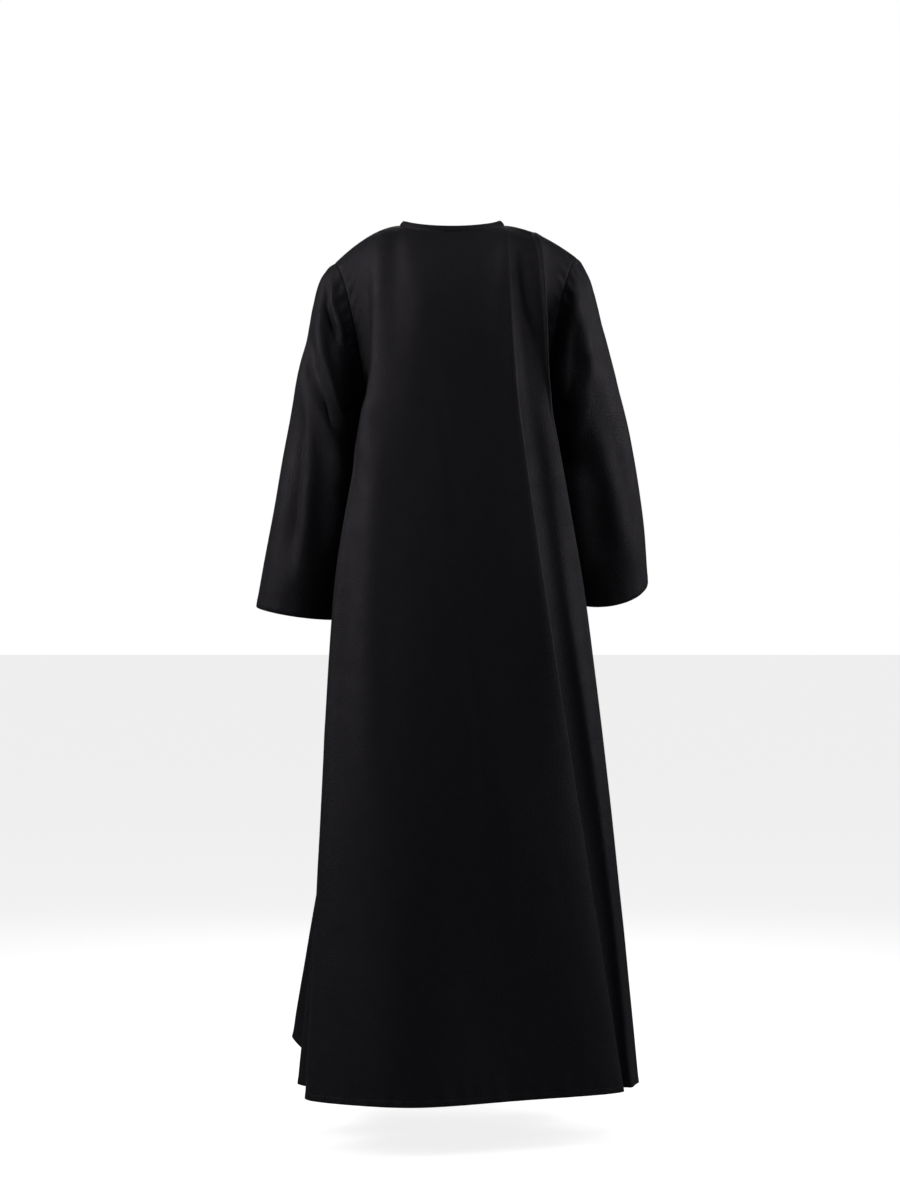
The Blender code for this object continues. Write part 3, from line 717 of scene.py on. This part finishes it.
def laid_overhangs(name, grid, places):
    """How far each point of a panel stands out for its overhanging folds, below 0 where it sinks
    beside them, in mm."""
    total = np.zeros(grid.shape[:2])
    for hang in OVERHANGS:
        if hang.piece != name:
            continue
        crest = np.argmin(np.abs(places - hang.place))
        run = along_rows(grid, crest) / MM * hang.side
        z = grid[:, crest, 2] / MM
        drop = np.interp(-z, [-hang.z1, -hang.z2, -hang.z3], [hang.drop1, hang.drop2, hang.drop3])
        falls = ease(run / hang.fall + BEFORE_LINE)
        recovers = 1 - ease((run - hang.fall * (1 - BEFORE_LINE)) / hang.recover)
        beyond = hang.shelf * bell(run - hang.fall - hang.recover, hang.recover * SHELF_WIDTH)
        total += drop[:, None] * (beyond - falls * recovers)
    return total


def faint_creases(grid, seed):
    """Small seeded creases over a whole panel, in mm."""
    flat = grid[:, :, [0, 2]] / MM
    total = np.zeros(grid.shape[:2])
    draws = np.random.default_rng(seed)
    low, high = flat.reshape(-1, 2).min(0), flat.reshape(-1, 2).max(0)
    for _ in range(FAINT_BODY):
        middle = draws.uniform(low, high)
        lean = draws.uniform(*FAINT_LEAN) + FAINT_FLARE * middle[0] / high[0]
        length, width = draws.uniform(*FAINT_LENGTH), draws.uniform(*FAINT_WIDTH)
        height = draws.uniform(*FAINT_HEIGHT) * draws.choice([-1, 1])
        way = np.array([lean, -1.0]) * length / 2
        bend = [draws.uniform(*FAINT_BEND), 0]
        off, along, _ = from_line(flat, (middle - way, middle + bend, middle + way))
        total += height * bell(off, width) * swell(along, FAINT_FADES, FAINT_FADES)
    return total


def faint_sleeve_creases(at, turn, seed):
    """Small seeded creases round a sleeve, in mm. at: share of its length. turn: in degrees."""
    total = 0
    draws = np.random.default_rng(seed)
    for _ in range(FAINT_SLEEVE):
        start, angle = draws.uniform(*SLEEVE_START), draws.uniform(0, 360)
        long, twist = draws.uniform(*SLEEVE_RUN), draws.uniform(*SLEEVE_TWIST)
        width = draws.uniform(*SLEEVE_WIDTH)
        height = draws.uniform(*FAINT_HEIGHT) * draws.choice([-1, 1])
        along = (at - start) / long
        away = off_angle(turn[None] - angle - twist * along)
        total = total + height * bell(away, width) * swell(along, FAINT_FADES, FAINT_FADES)
    return total


def puckers(kind, distance, along, seed):
    """How far out puckers stand, by their distance from a seam or edge and that along it, in mm."""
    draws = np.random.default_rng(seed)
    stops = [0.0]
    while stops[-1] < along.max() + kind.long:
        stops.append(stops[-1] + draws.uniform(kind.short, kind.long) / 2)
    heights = draws.uniform(*PUCKER_HEIGHTS, len(stops)) * (-1) ** np.arange(len(stops))
    wave = smooth_through(stops, heights, along.ravel()).reshape(along.shape)
    return kind.height * wave * bell(distance - kind.at, kind.width)


def finish_edges(grid, normals, out, hem, seam):
    """Moves a piece's middle surface out by out, and gives its thickness each side of it in metres.
    Seams are drawn in, and pressed allowances and turned hems are thicker. hem and seam are the
    distances from them, in mm as out is."""
    out = out * MM - SEAM_SINK * np.clip(1 - seam / SEAM_WIDTH, 0, 1) ** 2
    turned = ease((HEM_DEPTH + HEM_STEP / 2 - hem) / HEM_STEP)
    stitch = bell(hem - STITCH_LINE, STITCH_WIDTH)
    outer = CLOTH_OUT + HEM_THICKER_OUT * turned - STITCH_SINK * stitch
    pressed = ease((ALLOWANCE - seam) / ALLOWANCE_STEP)
    inner = CLOTH_IN + np.maximum(HEM_THICKER_IN * turned, ALLOWANCE_THICK * pressed)
    return grid + normals * out[:, :, None], outer, inner


def dress_panel(name, grid, normals, places, seed):
    """Lays creases, puckers, seam grooves and the turned hem on a panel's middle surface."""
    across, down = along_rows(grid) / MM, along_columns(grid) / MM
    from_left, from_right, from_hem = across, across[:, -1:] - across, down[-1:] - down
    edge = np.minimum(np.minimum(from_left, from_right), down)
    sewn = (places[0] > 0, places[-1] < COUNT)
    fade = ease(edge / (BACK_FADE if all(sewn) else FRONT_FADE))
    out = (faint_creases(grid, seed) + laid_falls(name, grid, normals)) * fade
    out += laid_overhangs(name, grid, places) * ease(down / TOP_FADE)
    out += puckers(HEM_PUCKER, from_hem, across[-1], seed + 1) * ease(edge / HEM_FADE)
    neck = np.abs(read_folds("top", places)) < NECK_TOP
    seam, hem = np.where(neck[None], FAR, down), from_hem
    height = np.where(np.arange(len(grid)) < YOKE_ROWS, 1.0, BELOW_ARMHOLE)[:, None]
    for distance, column, is_sewn in zip((from_left, from_right), (0, -1), sewn):
        if is_sewn:
            seam = np.minimum(seam, distance)
            wave = puckers(ARMHOLE_PUCKER, distance, down[:, column, None], seed + 3)
            fade = ease(distance / ARMHOLE_PUCKER_FADE) * ease(down / TOP_FADE)
            out += wave * height * fade
        else:
            hem = np.minimum(hem, distance)
    return finish_edges(grid, normals, out, hem, seam)


def dress_sleeve(name, grid, normals, turn, seed):
    """The same for a sleeve, with its head eased into the armhole."""
    down = along_columns(grid) / MM
    from_hem = down[-1:] - down
    at = (down.mean(1) / down[-1].mean())[:, None]
    out = laid_falls(name, grid, normals) + faint_sleeve_creases(at, np.degrees(turn), seed)
    out *= ease(down / SLEEVE_FADE)
    around = along_rows(grid[:1])[0] / MM
    out += puckers(HEAD_PUCKER, down, around, seed + 3) * ease(down / HEAD_PUCKER_FADE)
    out += puckers(CUFF_PUCKER, from_hem, around, seed + 4)
    under = grid[:, len(turn) // 2, None]
    seam = np.minimum(down, np.linalg.norm(grid - under, axis=2) / MM)
    return finish_edges(grid, normals, out, from_hem, seam)


# ---- meshes


def placed(name, data):
    """A new object in the scene."""
    made = bpy.data.objects.new(name, data)
    bpy.context.scene.collection.objects.link(made)
    return made


def cells(numbers):
    """The numbers at each grid cell's corners: its own, across, across and down, and down."""
    parts = (numbers[:-1, :-1], numbers[:-1, 1:], numbers[1:, 1:], numbers[1:, :-1])
    return [part.ravel() for part in parts]


def shell(name, grid, normals, outer, inner, weave_uv, material, closed=False):
    """A closed thin wall about a grid, with rounded free edges and the weave's own map in metres."""
    rows, columns = grid.shape[:2]
    out_side = grid + normals * outer[:, :, None]
    in_side = grid - normals * inner[:, :, None]
    inner_start = rows * columns
    index = np.arange(inner_start).reshape(rows, columns)
    ring = np.concatenate([index, index[:, :1]], axis=1) if closed else index
    a, b, c, d = cells(ring)
    wide = weave_uv.shape[1]
    ua, ub, uc, ud = cells(np.arange(rows * wide).reshape(rows, wide))

    # Its border's edges, as pairs of points, and the way out of the cloth at each
    sides = [(ring[0, :-1], ring[0, 1:]), (ring[-1, 1:], ring[-1, :-1])]
    near = np.zeros((rows, columns, 3))
    near[0], near[-1] = grid[0] - grid[1], grid[-1] - grid[-2]
    if not closed:
        sides += [(index[1:, 0], index[:-1, 0]), (index[:-1, -1], index[1:, -1])]
        near[:, 0] += grid[:, 0] - grid[:, 1]
        near[:, -1] += grid[:, -1] - grid[:, -2]
    border = np.concatenate([np.column_stack(side) for side in sides])
    rim, spot = np.unique(border, return_inverse=True)
    middle = (out_side + in_side).reshape(-1, 3) / 2
    thick = np.broadcast_to(outer + inner, (rows, columns)).reshape(-1, 1)
    rounded = middle[rim] + unit(near).reshape(-1, 3)[rim] * thick[rim] * RIM_ROUND
    points = np.concatenate([out_side.reshape(-1, 3), in_side.reshape(-1, 3), rounded])
    first, second = border.T
    rim_first, rim_second = 2 * inner_start + spot.reshape(border.shape).T
    lips = (
        (first, second, rim_second, rim_first),
        (rim_first, rim_second, second + inner_start, first + inner_start),
    )
    lips = np.stack([np.column_stack(lip) for lip in lips], axis=1).reshape(-1, 4)
    uv_first, uv_second = border.T // columns * wide + border.T % columns
    lip_uv = np.column_stack([uv_first, uv_second, uv_second, uv_first])
    outside, inside = np.column_stack([a, d, c, b]), np.column_stack([a, b, c, d]) + inner_start
    faces = np.concatenate([outside, inside, lips])
    uv_sides = np.column_stack([ua, ud, uc, ub]), np.column_stack([ua, ub, uc, ud])
    corners = np.concatenate([*uv_sides, np.repeat(lip_uv, 2, axis=0)])

    mesh = bpy.data.meshes.new(name)
    mesh.vertices.add(len(points))
    mesh.vertices.foreach_set("co", points.ravel())
    mesh.loops.add(faces.size)
    mesh.loops.foreach_set("vertex_index", faces.ravel().astype(np.int32))
    mesh.polygons.add(len(faces))
    mesh.polygons.foreach_set("loop_start", np.arange(0, faces.size, 4, dtype=np.int32))
    mesh.update(calc_edges=True)
    layer = mesh.uv_layers.new(name="weave")
    flat_uv = weave_uv.reshape(-1, 2)
    layer.data.foreach_set("uv", flat_uv[corners.ravel()].astype(np.float32).ravel())
    mesh.materials.append(material)
    mesh.shade_smooth()
    mesh.set_sharp_from_angle(angle=np.radians(SHARP))
    mesh.validate()
    return placed(name, mesh)


def weave_map(grid, zero_row, zero_column, closed=False):
    """Metres across and down the cloth at each grid point, for the weave."""
    if closed:
        grid = np.concatenate([grid, grid[:, :1]], axis=1)
    return np.stack([along_rows(grid, zero_column), along_columns(grid, zero_row)], axis=2)


def clothe(name, grid, normals, outer, inner, zero, closed=False):
    """Makes a piece's crepe about its grid, and gives the surface that its stitches lie on."""
    weave = weave_map(grid, *zero, closed)
    pieces[name] = shell(name + "_cloth", grid, normals, outer, inner, weave, cloth, closed)
    return grid + normals * (outer + STAND_OFF)[:, :, None]


# ---- finishes

# The crepe's pebble as drawn and its relief, its faint clouds, and the size of the thread's twist,
# in mm. A yarn's width as a share of its kinks' run. What pebble and cloud values count, and what
# roughness they give.
PEBBLE, PEBBLE_RELIEF, CLOUD, TWIST = 1.8, 1.3, 38.0, 0.5
YARN_RUN = 0.42
PEBBLE_RANGE, CLOUD_RANGE = (0.14, 0.36), (0.3, 0.7)
CLOTH_ROUGH, THREAD_ROUGH = (0.56, 0.64), (0.45, 0.6)


def linear(hex_colour):
    """An sRGB hex colour as the linear values that a shader takes."""
    values = [int(hex_colour[i : i + 2], 16) / 255 for i in (1, 3, 5)]
    return (*[v / 12.92 if v <= 0.04045 else ((v + 0.055) / 1.055) ** 2.4 for v in values], 1.0)


def join(tree, node, links):
    """Leads to a node's inputs from sockets, or from the first ones of nodes."""
    for socket, source in links.items():
        tree.links.new(getattr(source, "outputs", [source])[0], node.inputs[socket])


def add(tree, kind, links=None, **settings):
    """Adds a node. Settings are its properties, or its inputs where their name starts with in_."""
    node = tree.nodes.new(kind)
    for key, value in settings.items():
        if key.startswith("in_"):
            name = key[3:].replace("_", " ")
            node.inputs[int(name) if name.isdigit() else name].default_value = value
        else:
            setattr(node, key, value)
    join(tree, node, links or {})
    return node


def remap(tree, value, low, high):
    """A value's run from low[0] to low[1] made one from high[0] to high[1], held at its ends."""
    ends = {"in_From_Min": low[0], "in_From_Max": low[1], "in_To_Min": high[0], "in_To_Max": high[1]}
    return add(tree, "ShaderNodeMapRange", {"Value": value}, **ends)


def new_material(name, **settings):
    """A new material, its nodes and its main shader, whose sockets are set as given."""
    material = bpy.data.materials.new(name)
    material.use_nodes = True
    tree = material.node_tree
    shader = tree.nodes["Principled BSDF"]
    for key, value in settings.items():
        shader.inputs[key.replace("_", " ")].default_value = value
    return material, tree, shader


def blend(tree, share, dark, light):
    """A colour from dark to light by a share."""
    ends = {"in_6": linear(dark), "in_7": linear(light)}
    return add(tree, "ShaderNodeMix", {"Factor": share}, data_type="RGBA", **ends).outputs[2]


def crepe(name, dark, light, turned=0.0):
    """Black polyester crepe, woven from hard-twisted yarn and piece-dyed: the yarn's kinks give the
    face a fine pebble that breaks every highlight up, so it looks soft and nearly matt, and the
    fibre ends on its surface catch a greyish light where it turns away. The real pebble is 0.6 mm;
    it is drawn at 1.8 mm, as the real one is too fine to show."""
    material, tree, shader = new_material(
        name,
        IOR=1.46,
        Specular_IOR_Level=0.6,
        Specular_Tint=linear("#fbf1ff"),
        Sheen_Weight=0.12,
        Sheen_Roughness=0.4,
        Sheen_Tint=linear("#c8bdcd"),
    )
    weave = add(tree, "ShaderNodeUVMap", uv_map="weave")
    scale = 1 / (PEBBLE * MM)
    flat = {"noise_dimensions": "2D"}
    yarns = []
    for run in ((scale, YARN_RUN * scale, scale), (YARN_RUN * scale, scale, scale)):
        way = {"in_Scale": run, "in_Rotation": (0.0, 0.0, turned)}
        yarn = add(tree, "ShaderNodeMapping", {"Vector": weave}, **way)
        grain = {"in_Scale": 1.0, "in_Detail": 2.0, "in_Roughness": 0.6}
        yarns.append(add(tree, "ShaderNodeTexNoise", {"Vector": yarn}, **flat, **grain))
    pebble = add(tree, "ShaderNodeMath", {0: yarns[0], 1: yarns[1]}, operation="MULTIPLY")
    spread = {"in_Scale": 1 / (CLOUD * MM), "in_Detail": 3.0}
    cloud = add(tree, "ShaderNodeTexNoise", {"Vector": weave}, **flat, **spread)
    depth = remap(tree, pebble, PEBBLE_RANGE, (0, 1))
    tone = add(tree, "ShaderNodeMath", {0: depth, 1: cloud}, operation="MULTIPLY")
    rough = remap(tree, cloud, CLOUD_RANGE, CLOTH_ROUGH)
    relief = {"in_Strength": 1.0, "in_Distance": PEBBLE_RELIEF * MM}
    bump = add(tree, "ShaderNodeBump", {"Height": pebble}, **relief)
    mixed = blend(tree, tone, dark, light)
    join(tree, shader, {"Base Color": mixed, "Roughness": rough, "Normal": bump})
    return material


def thread():
    """Black spun polyester sewing thread, a shade glossier than the cloth, twisted every 0.5 mm."""
    gloss = {"Sheen_Weight": 0.1, "Specular_IOR_Level": 0.5}
    material, tree, shader = new_material("black_polyester_thread", **gloss)
    place = add(tree, "ShaderNodeTexCoord").outputs["Object"]
    fine = {"in_Scale": 1 / (TWIST * MM), "in_Detail": 1.0}
    twist = add(tree, "ShaderNodeTexNoise", {"Vector": place}, **fine)
    mixed = blend(tree, twist, "#101012", "#2a2a2d")
    rough = remap(tree, twist, (0, 1), THREAD_ROUGH)
    join(tree, shader, {"Base Color": mixed, "Roughness": rough})
    return material


# ---- stitches

STITCH_SIZES = {"Pitch": 0.0030, "Length": 0.0024, "Thread": 0.00046}
STAND_OFF = STITCH_SIZES["Thread"] / 4  # how far a stitch's middle stands off the cloth


def stitch_tree(material):
    """Even stitches along a line of edges: a small tapered bead of thread for each."""
    tree = bpy.data.node_groups.new("lockstitch", "GeometryNodeTree")
    face = tree.interface
    face.new_socket("Line", in_out="INPUT", socket_type="NodeSocketGeometry")
    for name in STITCH_SIZES:
        face.new_socket(name, in_out="INPUT", socket_type="NodeSocketFloat")
    face.new_socket("Stitches", in_out="OUTPUT", socket_type="NodeSocketGeometry")
    given = add(tree, "NodeGroupInput").outputs
    wide, pitch = given["Thread"], given["Pitch"]
    curve = add(tree, "GeometryNodeMeshToCurve", {"Mesh": given["Line"]})
    spots = add(tree, "GeometryNodeCurveToPoints", {"Curve": curve, "Length": pitch}, mode="LENGTH")
    bead = add(tree, "GeometryNodeMeshIcoSphere", in_Radius=0.5, in_Subdivisions=1)
    size = add(tree, "ShaderNodeCombineXYZ", {"X": wide, "Y": wide, "Z": given["Length"]})
    long_bead = add(tree, "GeometryNodeTransform", {"Geometry": bead, "Scale": size})
    tangent = {"Vector": spots.outputs["Tangent"]}
    turn = add(tree, "FunctionNodeAlignRotationToVector", tangent, axis="Z")
    laid = {"Points": spots, "Instance": long_bead, "Rotation": turn}
    beads = add(tree, "GeometryNodeInstanceOnPoints", laid)
    real = add(tree, "GeometryNodeRealizeInstances", {"Geometry": beads})
    smooth = add(tree, "GeometryNodeSetShadeSmooth", {"Geometry": real})
    finished = add(tree, "GeometryNodeSetMaterial", {"Geometry": smooth}, in_Material=material)
    add(tree, "NodeGroupOutput", {"Stitches": finished})
    return tree


def stitches(name, lines, tree):
    """One joined mesh of stitches along each polyline in lines."""
    points, edges = [], []
    for line in lines:
        start = len(points)
        points += [tuple(p) for p in line]
        edges += [(i, i + 1) for i in range(start, len(points) - 1)]
    mesh = bpy.data.meshes.new(name + "_line")
    mesh.from_pydata(points, edges, [])
    source = placed(name + "_line", mesh)
    modifier = source.modifiers.new("stitches", "NODES")
    modifier.node_group = tree
    for item in tree.interface.items_tree:
        if item.name in STITCH_SIZES:
            modifier[item.identifier] = STITCH_SIZES[item.name]
    graph = bpy.context.evaluated_depsgraph_get()
    made = bpy.data.meshes.new_from_object(source.evaluated_get(graph), depsgraph=graph)
    made.name = name
    bpy.data.objects.remove(source)
    return placed(name, made)


def stitch_line(surface, distance):
    """The stitch line's points along a free edge, one on each column. distance: from the edge."""
    found = []
    for points, run in zip(surface.swapaxes(0, 1), distance.T):
        order = np.argsort(run)
        found.append([np.interp(STITCH_LINE * MM, run[order], points[order, k]) for k in range(3)])
    return np.array(found)


# ---- the cloak

# The seeds of each piece's small creases and puckers
PIECE_SEEDS = {"front_left": 21, "back": 7, "front_right": 33, "sleeve_left": 45, "sleeve_right": 52}

cloth = crepe("black_polyester_crepe", "#030306", "#090a15")
bias = crepe("black_bias_crepe", "#030306", "#0a0b16", turned=np.pi / 4)
sewing = stitch_tree(thread())

panels = {}
for name, first, last, side in PANELS:
    places = fine_places(first, last)
    parts = [yoke(places, side, YOKE_SHARES[:, None, None]), skirt(places, SKIRT_SHARES)]
    grid = softened(np.concatenate(parts))
    panels[name] = [grid, normals_of(grid), places]
back_grid = panels["back"][0]
holes = {
    "sleeve_left": armhole_of(back_grid[:, 0], panels["front_left"][0][:, -1]),
    "sleeve_right": armhole_of(back_grid[:, -1], panels["front_right"][0][:, 0]),
}
tubes = {}
for name, stations, creases, sign in SLEEVES:
    grid = sleeve(stations, creases, holes[name], ring_turns(holes[name]))
    tubes[name] = [grid, sign * normals_of(grid, closed=True), sign]
share_normals([*panels.values(), *tubes.values()])

for name, _, _, side in PANELS:
    grid, normals, places = panels[name]
    shoulder = np.abs(read_folds("top", places)) >= NECK_TOP
    normals[0, shoulder, 1] = 0
    normals[0] = unit(normals[0])
    if side == FRONT:
        panels[name][0] = spread_lap(grid, normals, places)
neck_grid, neck_normals = binding_of(panels.values())

pieces = {}
sewn = {"hem_stitches": [], "cuff_stitches": [], "front_edge_stitches": []}
for name, (grid, normals, places) in panels.items():
    grid, outer, inner = dress_panel(name, grid, normals, places, PIECE_SEEDS[name])
    grid = drawn_in(grid, TINY_GAP)
    new_normals = normals_of(grid)
    for line in (0, -1):
        new_normals[line] = normals[line]
        new_normals[:, line] = normals[:, line]
    opens_left, opens_right = places[0] <= 0, places[-1] >= COUNT
    opens = opens_left or opens_right
    middle = np.argmin(np.abs(places - COUNT * opens_right)) if opens else len(places) // 2
    surface = clothe(name, grid, new_normals, outer, inner, (YOKE_ROWS, middle))
    down, across = along_columns(grid), along_rows(grid)
    sewn["hem_stitches"].append(stitch_line(surface, down[-1:] - down))
    if opens:
        from_front = across if opens_left else across[:, -1:] - across
        edge = stitch_line(surface.swapaxes(0, 1), from_front.T)
        sewn["front_edge_stitches"].append(edge)

for name, (grid, normals, sign) in tubes.items():
    turn = ring_turns(holes[name])
    grid, outer, inner = dress_sleeve(name, grid, normals, turn, PIECE_SEEDS[name])
    grid = drawn_in(grid, TINY_GAP, closed=True)
    new_normals = sign * normals_of(grid, closed=True)
    new_normals[0] = normals[0]
    grid, new_normals, outer, inner = (a[:, ::sign] for a in (grid, new_normals, outer, inner))
    surface = clothe(name, grid, new_normals, outer, inner, (0, 0), closed=True)
    down = along_columns(grid)
    line = stitch_line(surface, down[-1:] - down)
    sewn["cuff_stitches"].append(np.concatenate([line, line[:1]]))

# The neck binding: a folded bias strip, fullest along its middle
height = np.linspace(1, 0, len(neck_grid))[:, None]
roll = BINDING_EDGE + BINDING_FULL * np.sin(np.pi * height) ** 0.5
weave = weave_map(neck_grid, 0, 0)
strip = ("neck_binding_strip", neck_grid, neck_normals, roll, roll, weave, bias)
pieces["neck_binding"] = shell(*strip)

seams = {name: stitches(name, lines, sewing) for name, lines in sewn.items()}

# Each piece of cloth and each line of stitches hangs from the root body, and the solid that each piece
# stands for is hidden
for name, piece in pieces.items():
    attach(piece, "root")
    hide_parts(name)
for name, piece in seams.items():
    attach(piece, "root")

# ---- studio

FLOOR, FLOOR_HALF = -1.472, 40.0
FLOOR_GLOW = 0.85
SKY = (0.003, 0.012)  # strength of the light from below and from above
SKY_SPAN = (-0.6, 0.9)  # heights on the sky, from -1 to 1, between which it changes
SOFTBOX_WIDE, SOFTBOX_TALL = 0.9, 1.6


def stage_floor():
    """A white painted studio floor, rolled emulsion: matt, with a faint orange-peel. To the lens it
    is fully lit; on the cloth it throws only a little light, as a floor under dimmed lamps."""
    mesh = bpy.data.meshes.new("floor")
    square = ((-1, -1), (1, -1), (1, 1), (-1, 1))
    corners = [(x * FLOOR_HALF, y * FLOOR_HALF, FLOOR) for x, y in square]
    mesh.from_pydata(corners, [], [(0, 1, 2, 3)])
    material, tree, dull = new_material("white_emulsion", Base_Color=linear("#8a8a8a"), Roughness=0.9)
    place = add(tree, "ShaderNodeTexCoord").outputs["Object"]
    peel = add(tree, "ShaderNodeTexNoise", {"Vector": place}, in_Scale=220.0)
    bump = add(tree, "ShaderNodeBump", {"Height": peel}, in_Strength=0.03)
    join(tree, dull, {"Normal": bump})
    shaded = add(tree, "ShaderNodeBsdfDiffuse", in_Color=linear("#f7f7f7"))
    lit = add(tree, "ShaderNodeEmission", in_Strength=FLOOR_GLOW)
    seen = add(tree, "ShaderNodeAddShader", {0: shaded, 1: lit})
    lens = add(tree, "ShaderNodeLightPath").outputs["Is Camera Ray"]
    mix = add(tree, "ShaderNodeMixShader", {0: lens, 1: dull, 2: seen})
    join(tree, tree.nodes["Material Output"], {"Surface": mix})
    mesh.materials.append(material)
    placed("floor", mesh)


def softbox(name, turn, rise, away, aim, watts):
    """A soft rectangular lamp that points at the cloak's axis."""
    data = bpy.data.lights.new(name, "AREA")
    data.shape = "RECTANGLE"
    data.size, data.size_y, data.energy = SOFTBOX_WIDE, SOFTBOX_TALL, watts
    round_it, up = np.radians(turn), np.radians(rise)
    way = Vector((np.sin(round_it) * np.cos(up), np.cos(round_it) * np.cos(up), np.sin(up)))
    lamp = placed(name, data)
    lamp.location = Vector((0, 0, aim)) + away * way
    lamp.rotation_euler = (-way).to_track_quat("-Z", "Y").to_euler()


def studio_world():
    """A white sweep behind, and soft light from all round that is brighter above."""
    world = bpy.data.worlds.new("white_sweep")
    bpy.context.scene.world = world
    world.use_nodes = True
    tree = world.node_tree
    seen = tree.nodes["Background"]
    seen.inputs["Color"].default_value = (1, 1, 1, 1)
    seen.inputs["Strength"].default_value = 1.0
    way = add(tree, "ShaderNodeTexCoord").outputs["Generated"]
    height = add(tree, "ShaderNodeSeparateXYZ", {"Vector": way}).outputs["Z"]
    dim = add(tree, "ShaderNodeBackground", {"Strength": remap(tree, height, SKY_SPAN, SKY)})
    lens = add(tree, "ShaderNodeLightPath").outputs["Is Camera Ray"]
    mix = add(tree, "ShaderNodeMixShader", {0: lens, 1: dim, 2: seen})
    join(tree, tree.nodes["World Output"], {"Surface": mix})


stage_floor()
studio_world()

# Softboxes on a ring about the cloak: turn from the camera towards the wearer's left, height angle,
# distance and the height they aim at, in degrees and metres, and their power
Softbox = namedtuple("Softbox", "name turn rise away aim watts")
for box in (
    Softbox("behind_camera", 0, 10, 2.6, -0.60, 1.0),
    Softbox("left_wide", 60, 20, 2.2, -0.35, 6.0),
    Softbox("left_bank", 70, 20, 2.2, -0.35, 4.6),
    Softbox("left_near", 80, 25, 1.3, -0.15, 3.8),
    Softbox("right_bank", -90, 15, 2.0, -0.40, 9.6),
    Softbox("right_high", -50, 55, 1.7, -0.20, 3.2),
    Softbox("right_fill", -35, 25, 2.4, -0.40, 0.8),
    Softbox("front_left", 118, 20, 2.2, -0.45, 1.2),
    Softbox("front_right", -124, 20, 2.2, -0.45, 1.2),
    Softbox("front", 180, 25, 2.6, -0.50, 10.0),
):
    softbox(*box)

# The lens and the film's width in mm, and where the camera stands, level and square to the back
LENS, FILM_WIDTH = 84.4, 36
CAMERA_AT = (0.0033, 4.6, -0.602)
camera_data = bpy.data.cameras.new("camera")
camera_data.lens, camera_data.sensor_width = LENS, FILM_WIDTH
camera = placed("camera", camera_data)
camera.location = CAMERA_AT
camera.rotation_euler = (np.pi / 2, 0, np.pi)
bpy.context.scene.camera = camera
bpy.context.scene.view_settings.view_transform = "Standard"
